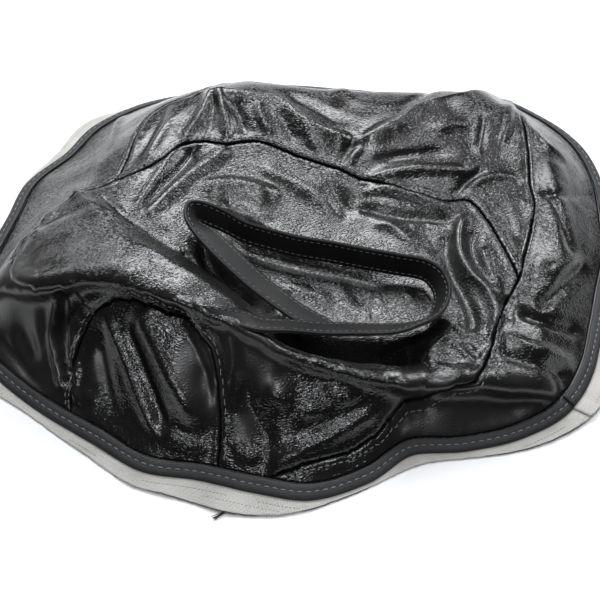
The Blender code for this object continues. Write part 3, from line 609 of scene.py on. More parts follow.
def up_normals(points):
    total = np.zeros_like(points)
    first = points[tris[:, 0]]
    faces = np.cross(points[tris[:, 1]] - first, points[tris[:, 2]] - first)
    for k in range(3):
        for c in range(3):
            total[:, c] += np.bincount(tris[:, k], faces[:, c], len(points))
    return unit(total, 1e-12)


sheet = np.column_stack([plan, spread(height(plan[:, 0], plan[:, 1])[:, None], 26)])
normals = up_normals(sheet)


# ---------------------------------------------------------------- folds
def smooth01(t):
    t = np.clip(t, 0, 1)
    return t * t * (3 - 2 * t)


def fold_move(fold):
    """The vertices near one fold, and how it moves them: along the normals and, leaning, sideways."""
    line = spline(fold.points, 4.0)
    reach = 1.8 * max(fold.left, fold.right)
    low, high = line[:, :2].min(0) - reach, line[:, :2].max(0) + reach
    near = ((plan > low) & (plan < high)).all(1)
    off, run = along(line, plan[near])
    own = run_of(line[:, :2])
    full = own[-1]
    start, end = [max(part * full, 1e-3) for part in fold.tapers]
    taper = smooth01(run / start) * smooth01((full - run) / end)
    ratio = np.abs(off) / np.where(off > 0, fold.left, fold.right)
    falloff = np.exp(-2.4 * ratio ** min(fold.roundness + 0.3, 2.1))
    force = fold.height * falloff * taper * np.interp(run, own, line[:, 2])
    move = normals[near] * force[:, None]
    if fold.lean:
        tangent = unit(np.gradient(line[:, :2], axis=0), 1e-9)
        across = np.stack([-np.interp(run, own, tangent[:, 1]),
                           np.interp(run, own, tangent[:, 0])], 1)
        move[:, :2] += across * (force / fold.height * fold.lean)[:, None]
    return near, move


total = np.zeros_like(sheet)
for fold in FOLDS:
    near, move = fold_move(fold)
    total[near] += move
sheet = spread(sheet + total * smooth01(rim_gap / 9.0)[:, None], 3)
normals = up_normals(sheet)


def lumps(points, size, octaves, seed):
    """Smooth noise per point, about -1 to 1, features of the given size in mm."""
    return np.array([noise.fractal(Vector((x / size + seed, y / size, z / size)), 0.8, 2.1, octaves)
                     for x, y, z in points])


def ridges(points, size, seed, stretch, angle):
    """Narrow raised lines between broad cells."""
    c, s = math.cos(angle), math.sin(angle)
    x = (points[:, 0] * c + points[:, 1] * s) / stretch
    y = -points[:, 0] * s + points[:, 1] * c
    values = np.array([noise.noise(Vector((a / size + seed, b / size, h / size)))
                       for a, b, h in zip(x, y, points[:, 2])])
    return 1 - np.abs(values) * 2.2


uneven = (0.42 * lumps(sheet, size=30.0, octaves=2, seed=3.1)
          + 0.11 * (ridges(sheet, size=17.0, seed=8.2, stretch=1.8, angle=0.6) - 0.6))
sheet = sheet + normals * (uneven * smooth01(rim_gap / 14.0))[:, None]

# ------------------------------------------------- seams: a ditch, a raised stitched side, puckers
LEFT_SHOWN = float(along(left, np.array([(-270.0, -8.0)]))[1][0])


def tucked(run):
    """0 to 1 into the last run of the left seam, which lies flat under the lip of the roll."""
    return smooth01((run - LEFT_SHOWN) / 12.0)


def seam_relief(name):
    """Height the seam adds at every vertex."""
    off, run = along(LINES[name], plan)
    off = off * SIDES[name]
    ditch_depth, wave_height = (1.3, 0.4) if name == "arch" else (1.9, 0.9)
    end = smooth01(np.minimum(run, run.max() - run) / 6.0) * 0.5 + 0.5
    wave = np.array([noise.noise(Vector((v / 17.0, 5.0 * SIDES[name], 1.7))) for v in run])
    pad = np.where(off > 0, 0.95 * np.clip(1 - ((off - 4.3) / 5.4) ** 2, 0, 1),
                   0.55 * np.clip(1 - ((off + 3.2) / 3.6) ** 2, 0, 1))
    ditch = -ditch_depth * np.exp(-(np.abs(off) / 1.1) ** 1.7)
    groove = -0.55 * np.exp(-((off - STITCH_OFF) / 1.1) ** 2)
    pucker = (0.30 * np.cos(2 * math.pi * run / PITCH) * np.exp(-((off - 2.0) / 3.4) ** 2)
              + wave_height * wave * np.exp(-(off / 9.0) ** 2))
    relief = (pad + ditch + groove + pucker) * end * smooth01(rim_gap / 5.0)
    return relief * (1 - tucked(run)) if name == "left" else relief


sheet = sheet + normals * sum(seam_relief(name) for name in LINES)[:, None]
sheet[:, 2] = np.maximum(sheet[:, 2], 2.2)
normals = up_normals(sheet)
PLAN_TREE = BVHTree.FromPolygons([(x, y, 0.0) for x, y in plan], tris.tolist())


def lay(points):
    """Plan points carried onto the finished sheet, and the sheet's normals there."""
    laid, ups = [], []
    for x, y in points:
        face = PLAN_TREE.find_nearest((float(x), float(y), 0.0))[2]
        ia, ib, ic = tris[face]
        a, b, c = plan[ia], plan[ib], plan[ic]
        area = (b[0] - a[0]) * (c[1] - a[1]) - (b[1] - a[1]) * (c[0] - a[0])
        u = ((x - a[0]) * (c[1] - a[1]) - (y - a[1]) * (c[0] - a[0])) / area
        v = ((b[0] - a[0]) * (y - a[1]) - (b[1] - a[1]) * (x - a[0])) / area
        u, v = min(max(u, 0), 1), min(max(v, 0), 1)
        w = max(1 - u - v, 0)
        up = normals[ia] * w + normals[ib] * u + normals[ic] * v
        laid.append(sheet[ia] * w + sheet[ib] * u + sheet[ic] * v)
        ups.append(up / np.linalg.norm(up))
    return np.array(laid), np.array(ups)


# ---------------------------------------------------------------- node materials
def new_material(name):
    material = bpy.data.materials.new(name)
    material.use_nodes = True
    tree = material.node_tree
    return material, tree, tree.nodes["Principled BSDF"]


def node(tree, kind, inputs=None, **props):
    """A node with its properties set, and its inputs linked or given values."""
    made = tree.nodes.new(kind)
    for key, value in props.items():
        setattr(made, key, value)
    for key, value in (inputs or {}).items():
        if isinstance(value, bpy.types.NodeSocket):
            tree.links.new(value, made.inputs[key])
        else:
            made.inputs[key].default_value = value
    return made


def coordinates(tree, kind="Object"):
    return node(tree, "ShaderNodeTexCoord").outputs[kind]


def noise_node(tree, at, scale, detail):
    return node(tree, "ShaderNodeTexNoise", {"Vector": at, "Scale": scale, "Detail": detail})


def remap(tree, value, source, target=(0.0, 1.0)):
    return node(tree, "ShaderNodeMapRange", {
        "From Min": source[0], "From Max": source[1], "To Min": target[0], "To Max": target[1],
        "Value": value}, interpolation_type="SMOOTHSTEP").outputs[0]


def maths(tree, kind, a, b):
    return node(tree, "ShaderNodeMath", {0: a, 1: b}, operation=kind).outputs[0]


def add_bump(tree, shader, tall, strength, distance):
    bump = node(tree, "ShaderNodeBump",
                {"Height": tall, "Strength": strength, "Distance": distance})
    tree.links.new(bump.outputs["Normal"], shader.inputs["Normal"])


def add_colour(tree, shader, factor, low, high):
    """Base colour running from low to high with the factor."""
    mix = node(tree, "ShaderNodeMix", {"Factor": factor, "A": (*low, 1), "B": (*high, 1)},
               data_type="RGBA")
    tree.links.new(mix.outputs["Result"], shader.inputs["Base Color"])


def leather(name, base, grain=1.0, rough=0.195, cell=330.0, strength=1.0, sheen=0.6):
    """Pebbled leather: rounded cells between fine creases, drawn out along a direction that
    changes from place to place, and smoother zones where the leather is drawn tight."""
    material, tree, shader = new_material(name)
    at = coordinates(tree)
    warp = noise_node(tree, at, scale=95.0, detail=2.0)
    bent = node(tree, "ShaderNodeVectorMath", {0: warp.outputs["Color"], 1: (0.006,) * 3, 2: at},
                operation="MULTIPLY_ADD").outputs[0]
    pebbles = []
    for turn, size in ((0.75, 1.0), (-0.5, 1.08)):
        way = node(tree, "ShaderNodeMapping", {
            "Vector": bent, "Rotation": (0.0, 0.0, turn),
            "Scale": (cell * 0.62 * size, cell * 1.35 * size, cell * size)}).outputs[0]
        edge = node(tree, "ShaderNodeTexVoronoi", {"Vector": way, "Scale": 1.0},
                    feature="DISTANCE_TO_EDGE")
        rounded = remap(tree, edge.outputs["Distance"], source=(0.0, 0.42))
        crease = noise_node(tree, way, scale=2.1, detail=1.0).outputs["Fac"]
        pebbles.append(maths(tree, "ADD", rounded, maths(tree, "MULTIPLY", crease, 0.9)))
    zone = noise_node(tree, at, scale=11.0, detail=1.0).outputs["Fac"]
    pick = remap(tree, zone, source=(0.42, 0.58))
    both = node(tree, "ShaderNodeMix", {"Factor": pick, "A": pebbles[0], "B": pebbles[1]})
    tight = node(tree, "ShaderNodeAttribute", attribute_name="tight").outputs["Fac"]
    patch = noise_node(tree, at, scale=17.0, detail=2.0).outputs["Fac"]
    # random patches of tone, and a painted sheen where the leather is drawn tight: both thin the
    # grain and make the colour paler
    patches_and_sheen = maths(tree, "MULTIPLY", remap(tree, patch, source=(0.36, 0.56), target=(0.5, 1.0)),
                 remap(tree, tight, source=(0.0, 1.0), target=(1.0, 0.30)))
    tall = maths(tree, "MULTIPLY", both.outputs[0], maths(tree, "MULTIPLY", patches_and_sheen, grain))
    add_bump(tree, shader, tall, strength=strength, distance=0.00024)
    # the paler, warmer colour is a painted sheen in the tight zones, standing in for the soft
    # reflection of smooth leather, and a change of tone in the random patches
    sheen_and_patch_colour = (base[0] * 2.2, base[1] * 2.05, base[2] * 1.8)
    add_colour(tree, shader, patches_and_sheen, sheen_and_patch_colour, base)
    gloss = remap(tree, tight, source=(0.0, 1.0), target=(rough, rough + 0.14))
    tree.links.new(gloss, shader.inputs["Roughness"])
    # painted shade: where the ditch attribute is high, in the seams and shadowed hollows, the sheen
    # drops nearly to nothing
    ditch = node(tree, "ShaderNodeAttribute", attribute_name="ditch").outputs["Fac"]
    shaded_sheen = remap(tree, ditch, source=(0.15, 0.75), target=(sheen, 0.02))
    tree.links.new(shaded_sheen, shader.inputs["Specular IOR Level"])
    return material


def suede(name, base):
    material, tree, shader = new_material(name)
    nap = noise_node(tree, coordinates(tree), scale=900.0, detail=3.0).outputs["Fac"]
    add_bump(tree, shader, nap, strength=0.5, distance=0.0004)
    add_colour(tree, shader, nap, [v * 0.6 for v in base], [v * 1.4 for v in base])
    shader.inputs["Roughness"].default_value = 0.9
    return material


def woven(name, light, dark, pitch, strength=0.6, rough=0.9, slub=0.5, twill=False):
    """Cloth: two sets of yarns at right angles (or a slanting rib), with slubs and soiling.
    The pitch of the yarns is in mm."""
    material, tree, shader = new_material(name)
    at = coordinates(tree, "UV")
    warp, weft = [
        node(tree, "ShaderNodeTexWave",
             {"Vector": at, "Scale": 314.16 / pitch, "Distortion": 0.6, "Detail": 1.0,
              "Detail Scale": 2.0}, wave_type="BANDS", bands_direction=way).outputs["Fac"]
        for way in ("DIAGONAL" if twill else "X", "Y")]
    soiling = noise_node(tree, at, scale=1000.0 / (pitch * 22), detail=4.0).outputs["Fac"]
    yarn = noise_node(tree, at, scale=1000.0 / (pitch * 1.7), detail=2.0).outputs["Fac"]
    if twill:
        tall = maths(tree, "ADD", maths(tree, "MULTIPLY", warp, 0.8),
                     maths(tree, "MULTIPLY", weft, 0.25))
    else:
        tall = maths(tree, "MAXIMUM", warp, weft)
    tall = maths(tree, "ADD", tall, maths(tree, "MULTIPLY", yarn, slub))
    add_bump(tree, shader, tall, strength=strength, distance=0.0004)
    mix = maths(tree, "ADD", maths(tree, "MULTIPLY", tall, 0.45),
                maths(tree, "MULTIPLY", soiling, 0.55))
    add_colour(tree, shader, remap(tree, mix, source=(0.35, 0.95)), dark, light)
    shader.inputs["Roughness"].default_value = rough
    return material


def twisted(name, base, rough=0.6):
    """Thread, with a slanting twist."""
    material, tree, shader = new_material(name)
    twist = node(tree, "ShaderNodeTexWave",
                 {"Vector": coordinates(tree), "Scale": 1100.0, "Distortion": 2.0},
                 bands_direction="DIAGONAL").outputs["Fac"]
    add_bump(tree, shader, twist, strength=0.6, distance=0.0002)
    add_colour(tree, shader, twist, [v * 0.65 for v in base], base)
    shader.inputs["Roughness"].default_value = rough
    return material


LEATHER_M = leather("pebbled_leather", (0.0050, 0.0050, 0.0052))
STRAP_M = leather("strap_leather", (0.0085, 0.0085, 0.0088), grain=0.45, rough=0.50, cell=560.0,
                  strength=0.8, sheen=0.27)
SUEDE_M = suede("leather_underside", (0.10, 0.095, 0.088))
BINDING_M = woven("charcoal_twill", light=(0.024, 0.025, 0.027), dark=(0.008, 0.008, 0.009),
                  pitch=1.1, strength=0.5, rough=0.55, slub=0.3, twill=True)
CANVAS_M = woven("raw_canvas", light=(0.66, 0.645, 0.615), dark=(0.31, 0.30, 0.28),
                 pitch=1.25, strength=0.9, rough=0.92, slub=0.6)
TAPE_M = woven("seam_tape", light=(0.06, 0.06, 0.06), dark=(0.03, 0.03, 0.03),
               pitch=0.9, rough=0.85)
WEBBING_M = woven("strap_webbing", light=(0.05, 0.05, 0.05), dark=(0.02, 0.02, 0.02),
                  pitch=1.4, strength=0.8, rough=0.8)
THREAD_M = twisted("grey_thread", (0.26, 0.26, 0.27), rough=0.5)
PALE_M = twisted("pale_thread", (0.33, 0.33, 0.33))
STRAP_THREAD_M = twisted("strap_thread", (0.18, 0.18, 0.185), rough=0.5)
BLACK_M = twisted("black_thread", (0.012, 0.012, 0.012))


# ---------------------------------------------------------------- building pieces
class Build:
    """Collects vertices and faces, in millimetres of the plan frame, for one piece."""

    def __init__(self):
        self.verts, self.faces, self.uvs, self.caps = [], [], [], []

    def loft(self, rings, uvs=None, caps=True):
        """Skin over closed rings of equal length."""
        count, first = len(rings[0]), len(self.verts)
        for k, ring in enumerate(rings):
            self.verts += [tuple(p) for p in ring]
            self.uvs += [tuple(uv) for uv in uvs[k]] if uvs is not None else [(0.0, 0.0)] * count
        for i in range(len(rings) - 1):
            for j in range(count):
                a, b = first + i * count + j, first + i * count + (j + 1) % count
                self.faces.append((a, b, b + count, a + count))
        if caps:
            self.caps += [len(self.faces), len(self.faces) + 1]
            last = first + (len(rings) - 1) * count
            self.faces.append(tuple(range(first, first + count))[::-1])
            self.faces.append(tuple(range(last, last + count)))

    def slab(self, rows, facing, uvs):
        """A sheet between two layers of rows; both layers share their uvs."""
        self.loft([[*one, *two[::-1]] for one, two in zip(rows, facing)],
                  [[*uv, *uv[::-1]] for uv in uvs])

    def tube(self, points, radius, up=(0, 0, 1), sides=6, flat=1.0, shrink=None):
        """A thread along points; up is one vector or one per point; flat squeezes it."""
        points = np.asarray(points, float)
        run = unit(np.gradient(points, axis=0), 1e-12)
        cross = unit(np.cross(run, np.asarray(up, float)), 1e-12)
        lifted = np.cross(cross, run)
        rings = []
        for k, p in enumerate(points):
            r = radius * (shrink[k] if shrink is not None else 1.0)
            rings.append([p + cross[k] * r * math.cos(a) + lifted[k] * r * flat * math.sin(a)
                          for a in np.linspace(0, 2 * math.pi, sides, endpoint=False)])
        self.loft(rings)

    def stitch(self, points, radius, up=(0, 0, 1)):
        """A stitch through six points, thin at the ends that dive in."""
        self.tube(points, radius, up, flat=0.8, shrink=[0.7, 1, 1.05, 1.05, 1, 0.7])

    def piece(self, name, material, slot, stands_for=(), body="cover"):
        mesh = bpy.data.meshes.new(name)
        mesh.from_pydata(((np.array(self.verts) + SHIFT) * MM).tolist(), [], self.faces)
        layer = mesh.uv_layers.new(name="weave")
        loops = np.zeros(len(mesh.loops), int)
        mesh.loops.foreach_get("vertex_index", loops)
        layer.data.foreach_set("uv", (np.array(self.uvs)[loops] * MM).ravel())
        mesh.shade_smooth()
        for k in self.caps:
            mesh.polygons[k].use_smooth = False
        outward(mesh)
        return finish_piece(name, mesh, [material], body, stands_for)


def outward(mesh):
    bm = bmesh.new()
    bm.from_mesh(mesh)
    bmesh.ops.recalc_face_normals(bm, faces=bm.faces)
    bm.to_mesh(mesh)
    bm.free()


def new_object(name, data):
    obj = bpy.data.objects.new(name, data)
    bpy.context.scene.collection.objects.link(obj)
    return obj


def finish_piece(name, mesh, materials, body, stands_for):
    """body is one body's name, or a tuple (from, to, start, end) whose entries are not used; a piece
    given a tuple only has its transform baked and is attached to no body.
    """
    obj = new_object(name, mesh)
    for material in materials:
        mesh.materials.append(material)
    if isinstance(body, tuple):
        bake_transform(obj)
    else:
        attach(obj, body)
    if stands_for:
        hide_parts(*stands_for)
    return obj


# ---------------------------------------------------------------- leather panels
tight = np.zeros(len(plan))
for x, y, reach in TIGHT:
    away = np.hypot(plan[:, 0] - x, plan[:, 1] - y)
    tight = np.maximum(tight, smooth01(1.5 - away / reach))
seam_gap = np.min([np.abs(along(line, plan)[0]) for line in LINES.values()], axis=0)
left_gap, left_run = along(left, plan)
# painted shade: a mask that darkens the sheen in the seam ditches and along the painted-shadow lines
# above
painted_shade = np.exp(-(seam_gap / 1.1) ** 2)
painted_shade *= np.where(np.abs(left_gap) < 2.5, 1 - tucked(left_run), 1.0)
for reach, dark, points in PAINTED_SHADOWS:
    away = np.abs(along(np.array(points, float), plan)[0])
    painted_shade = np.maximum(painted_shade, dark * smooth01(1.6 - away / reach))


def panel(name, mine):
    """One leather panel from its triangles, its border drawn in slightly to part the seams."""
    used = np.unique(mine)
    renumber = np.full(len(plan), -1)
    renumber[used] = np.arange(len(used))
    directed = dict.fromkeys(map(tuple, tri_edges(mine).tolist()))
    border = {v for a, b in directed if (b, a) not in directed for v in (a, b)}
    inner = {}
    for a, b in directed:
        if a in border and b not in border:
            inner.setdefault(a, []).append(b)
    points = sheet.copy()
    for v, neighbours in inner.items():
        inwards = sheet[neighbours].mean(0) - sheet[v]
        points[v] = sheet[v] + inwards / np.linalg.norm(inwards) * 0.07
    mesh = bpy.data.meshes.new(name + "_skin")
    mesh.from_pydata(((points[used] + SHIFT) * MM).tolist(), [], renumber[mine].tolist())
    mesh.shade_smooth()
    # the ditch attribute carries that painted shade mask to the leather
    for key, values in (("tight", tight), ("ditch", painted_shade)):
        mesh.attributes.new(key, "FLOAT", "POINT").data.foreach_set("value", values[used])
    obj = finish_piece(name + "_skin", mesh, [LEATHER_M, SUEDE_M], "cover", [name])
    solid = obj.modifiers.new("thickness", "SOLIDIFY")
    solid.thickness = 1.15 * MM
    solid.offset = -1.0
    solid.use_even_offset = False
    solid.material_offset = 1  # the suede inside


for number, name in enumerate(OUTLINES):
    panel(name, tris[owner == number])

# ---------------------------------------------------------------- seam stitches
SEAM_STITCH = 4.2   # length
SEAM_THREAD = 0.52  # radius
SEAM_LIFT = np.array([-0.3, 0.42, 0.66, 0.66, 0.42, -0.3])  # ends dive into the leather


def seam_stitches(name, seed):
    line, off = LINES[name], SIDES[name] * STITCH_OFF
    row = beside(resample(line, 1.5), off)
    row = resample(row[inside(rim, row)], 0.5)
    row = row[np.abs(along(line, row)[0]) > abs(off) - 0.5]
    row = resample(row, 0.5, skip=3.0)
    stop = run_of(row)[-1]
    if name == "left":
        stop = min(stop, LEFT_SHOWN - 4)
    build, at, k = Build(), 0.0, 0
    while at + SEAM_STITCH < stop:
        jitter = 0.5 + 0.5 * noise.noise(Vector((k * 1.37, seed, 0.3)))
        start = at + (jitter - 0.5) * 0.7
        flat = at_runs(row, start + np.linspace(0, SEAM_STITCH * (0.94 + 0.12 * jitter), 6))
        if np.linalg.norm(flat[-1] - flat[0]) > SEAM_STITCH * 0.55:
            points, ups = lay(flat)
            build.stitch(points + ups * SEAM_LIFT[:, None], SEAM_THREAD, ups)
        at += PITCH
        k += 1
    build.piece(name + "_seam_stitches", THREAD_M, "thread", [name + "_seam_thread"])


for number, name in enumerate(SIDES):
    seam_stitches(name, 2.0 + number)

# ---------------------------------------------------------------- tape and patches under the leather
TRIM = {"back": (13.0, 13.0), "right": (4.0, 4.0), "left": (4.0, 13.0), "arch": (4.0, 4.0)}
TAPE_STEP = 4.0
TAPE_ACROSS = (-8.5, -4.5, 0.0, 4.5, 8.5)


def seam_tape(name, trim_start, trim_end):
    line = resample(LINES[name], TAPE_STEP)
    run = np.arange(len(line)) * TAPE_STEP
    line = line[(run > trim_start) & (run < run[-1] - trim_end)]
    line = line[np.all([inside(rim, beside(line, off)) for off in (-10.5, 10.5)], axis=0)]
    laid = [lay(beside(line, off)) for off in TAPE_ACROSS]
    points = np.stack([p for p, _ in laid], 1)
    ups = np.stack([up for _, up in laid], 1)
    build = Build()
    build.slab(points - ups * 2.9, points - ups * 2.2,
               [[(i * TAPE_STEP, off) for off in TAPE_ACROSS] for i in range(len(line))])
    build.piece(name + "_seam_backing", TAPE_M, "tape", [name + "_seam_tape"])


def strap_patch(name, x, y):
    """Square cloth under the leather."""
    steps = np.linspace(-13, 13, 7)
    laid = [lay([(x + dx, y + dy) for dx in steps]) for dy in steps]
    build = Build()
    build.slab([p - up * 4.6 for p, up in laid], [p - up * 3.6 for p, up in laid],
               [[(dx, dy) for dx in steps] for dy in steps])
    build.piece(name + "_cloth", TAPE_M, "tape", [name])


for name, trim in TRIM.items():
    seam_tape(name, *trim)
strap_patch("strap_patch_left", -74, -86)
strap_patch("strap_patch_right", 18, -84)


# ---------------------------------------------------------------- rim band and its stitches
def wob(x, seed, size):
    return noise.noise(Vector((x / size, seed, 0.5)))


# start and end angle of each run of band and canvas
LAPS = {"front": (184.0, 321.8), "right": (320.9, 43.35), "back": (43.42, 183.93)}
BAND_STITCH, BAND_PITCH, BAND_STITCH_OUT = 4.6, 7.6, 8.0
BAND_LIFT = (-0.35, 0.28, 0.5, 0.5, 0.28, -0.35)
# (outwards from the leather's edge, drop below the band's top, least height)
BAND_SECTION = [(out, drop, 1.5) for out, drop in (
    (1.3, 0.9), (1.55, 0.35), (2.2, 0.05), (3.6, 0), (5.2, 0), (6.7, 0), (8.0, 0), (9.3, 0),
    (11.2, 0), (13.0, 0.15), (13.9, 0.5), (14.1, 1.1))]
BAND_SECTION += [(out, 2.6, 1.15) for out, _, _ in BAND_SECTION[::-2]]  # underside


def band_height(t, out):
    """Top of the rim band at an angle, some way out from the leather's edge."""
    run = arc(t)
    inner = float(section(t)[RIM_Z]) + 1.5 + 0.9 * wob(run, 4.0, 60.0)
    outer = 3.5 + 0.5 * wob(run, 9.0, 45.0)
    part = np.clip((out - 1.4) / BINDING_W, 0, 1)
    crown = 0.55 * math.sin(math.pi * part)
    groove = -0.45 * math.exp(-((out - BAND_STITCH_OUT) / 1.2) ** 2)
    return inner + (outer - inner) * part + crown + groove


def band_point(t, out):
    """Plan point on the rim band; the band wanders slightly in and out."""
    return rim_point(t, out + 0.7 * wob(arc(t), 2.0, 38.0) * min(1.0, max(0.0, out / 4.0)))


def lapped(name, t):
    """Extra height where the right-hand run lies over the end of the front run."""
    t = t % 360
    return 1.9 * smooth01((324.5 - t) / 2.0) if name == "right" and 300 < t < 326 else 0.0


def lap(name):
    """Start angle and span of a run."""
    start, end = LAPS[name]
    return start, (end - start) % 360


def lap_stations(name, spacing):
    start, span = lap(name)
    return start + np.linspace(0.0, span, int(arc(span) / spacing))


def rim_band(name):
    rings, uvs = [], []
    for t in lap_stations(name, 2.6):
        rings.append([(*band_point(t % 360, out),
                       max(band_height(t % 360, out) - drop, least) + lapped(name, t))
                      for out, drop, least in BAND_SECTION])
        uvs.append([(arc(t), out) for out, _, _ in BAND_SECTION])
    build = Build()
    build.loft(rings, uvs)
    build.piece("rim_band_" + name, BINDING_M, "binding", ["rim_binding_" + name])


def band_stitches(name):
    start, span = lap(name)
    build, k = Build(), 0
    while 4 + k * BAND_PITCH + BAND_STITCH < arc(span) - 4:
        first = 4 + k * BAND_PITCH + 0.5 * wob(k * 3.1, 6.0, 2.0)
        points = []
        for run, lift in zip(first + np.linspace(0, BAND_STITCH, 6), BAND_LIFT):
            t = angle_at(start, run)
            z = band_height(t, BAND_STITCH_OUT) + lift + lapped(name, t)
            points.append((*band_point(t, BAND_STITCH_OUT), z))
        build.stitch(points, 0.47)
        k += 1
    build.piece("rim_band_stitches_" + name, PALE_M, "pale_thread", ["binding_thread_" + name])


for name in LAPS:
    rim_band(name)
    band_stitches(name)

# ---------------------------------------------------------------- canvas margin
# angles between which the dark thread along the canvas edge is left
EDGE_THREAD = {"front": [(200, 213), (243, 262), (268, 281), (301, 320.5)], "right": [(326, 338)]}


def canvas_height(t, out):
    run = arc(t)
    far = smooth01((out - 15.0) / 16.0)
    waves = 0.6 + 1.6 * max(0.0, wob(run, 12.0, 42.0)) + 0.8 * wob(run, 15.0, 17.0)
    return 1.05 + far * waves


def canvas_top(t, out):
    return max(0.85, canvas_height(t, out))


def canvas_edge(t):
    run = arc(t)
    return float(section(t)[MARGIN]) + 1.2 * wob(run, 21.0, 33.0) + 0.5 * wob(run, 23.0, 6.0)


def canvas_margin(name):
    high, low, uvs = [], [], []
    for t in lap_stations(name, 2.8) % 360:
        free = 8.0 + (canvas_edge(t) - 8.0) * np.linspace(0.12, 1.0, 12)
        row = []
        for out in [-CANVAS_IN, 0.0, 8.0, *free.tolist()]:
            z = (canvas_top(t, out) if out > 8 else 1.0) + 0.9 * lapped(name, t)
            row.append((*rim_point(t, out), z))
        high.append(row)
        low.append([(x, y, z - 0.8) for x, y, z in row])
        uvs.append([(math.radians(t) * 290, out) for out in (-CANVAS_IN, 0.0, 8.0, *free)])
    build = Build()
    build.slab(high, low, uvs)
    build.piece("canvas_margin_" + name, CANVAS_M, "canvas", ["canvas_hem_" + name])


def canvas_fray(name):
    """Loose yarn ends along the raw edge."""
    start, span = lap(name)
    full, spacing = arc(span), 2.1
    build = Build()
    for k in range(int(full / spacing)):
        run = 1.0 + k * spacing + 0.9 * wob(k * 1.7, 31.0, 1.0)
        t = angle_at(start, min(run, full - 1.0))
        edge = canvas_edge(t)
        long = 1.1 + 1.5 * abs(wob(k * 2.3, 33.0, 1.0))
        lean = 1.3 * wob(k * 1.9, 35.0, 1.0)
        points = []
        for f in (0.0, 0.35, 0.7, 1.0):
            p = rim_point(t + math.degrees(lean * f * f / ARC_R), edge - 0.8 + long * f)
            points.append((*p, max(0.3, canvas_height(t, edge) - 0.35 - 0.5 * f * f)))
        build.tube(points, 0.17, sides=4)
    build.piece("canvas_fray_" + name, CANVAS_M, "canvas")


def edge_thread(name):
    build = Build()
    for low, high in EDGE_THREAD[name]:
        points = []
        for t in np.arange(low, high, 0.45):
            out = canvas_edge(t) - 0.25 + 0.5 * wob(arc(t), 51.0, 5.0)
            z = canvas_top(t, out) - 0.1 + 0.25 * wob(arc(t), 53.0, 4.0)
            points.append((*rim_point(t, out), z))
        count = np.arange(len(points))
        taper = np.minimum(1.0, np.minimum(count, count[::-1]) / 4.0 + 0.25)
        build.tube(points, 0.42, shrink=taper)
    build.piece("canvas_edge_thread_" + name, BLACK_M, "thread")


def canvas_stitches(name):
    """Two faint, broken rows of thread where the canvas is wide enough."""
    start, span = lap(name)
    pitch, long = 3.4, 1.9
    build = Build()
    for row_out, seed in ((22.0, 61.0), (27.5, 63.0)):
        k = 0
        while 6 + k * pitch + long < arc(span) - 6:
            runs = 6 + k * pitch + np.linspace(0, long, 4)
            k += 1
            edge = canvas_edge(angle_at(start, runs[1]))
            if edge - 3.0 < row_out or wob(k * 0.05, seed, 1.0) > 0.15:
                continue
            points = []
            for run, lift in zip(runs, (0.0, 0.16, 0.16, 0.0)):
                t = angle_at(start, run)
                points.append((*rim_point(t, row_out), canvas_top(t, row_out) + lift))
            build.tube(points, 0.24, sides=4)
    if build.verts:
        build.piece("canvas_stitches_" + name, THREAD_M, "thread")


def thread_tuft():
    """The knot of black thread hanging off the front edge."""
    angle = 256.6
    edge = canvas_edge(angle)
    build = Build()
    for k in range(9):  # hanging fibres
        start = angle + 0.25 * wob(k * 1.3, 71.0, 1.0)
        long = 8.5 + 3.0 * wob(k * 2.1, 73.0, 1.0)
        bend = 1.1 * wob(k * 1.7, 75.0, 1.0)
        points = []
        for f in np.linspace(0, 1, 8):
            p = rim_point(start - 1.5 * f + 0.55 * bend * f * f, edge - 1.5 + long * f)
            z = (1.5 + 0.35 * (k % 3) + 1.2 * math.sin(3.1 * f) * (1 - f)
                 - 0.9 * f * (0.4 + 0.1 * k))
            points.append((*p, max(z, 0.35)))
        build.tube(points, 0.30, sides=5)
    for k in range(5):  # fibres lying along the edge
        points = []
        for f in np.linspace(0, 1, 6):
            p = rim_point(angle - 1.0 + 2.6 * f, edge - 1.1 + 0.8 * wob(f * 3 + k, 77.0, 1.0))
            points.append((*p, 1.6 + 0.5 * wob(f * 4 + k * 2, 79.0, 1.0)))
        build.tube(points, 0.32, sides=5)
    build.piece("loose_thread_tuft", BLACK_M, "thread")


for name in LAPS:
    canvas_margin(name)
    canvas_fray(name)
    if name in EDGE_THREAD:
        edge_thread(name)
    canvas_stitches(name)
thread_tuft()

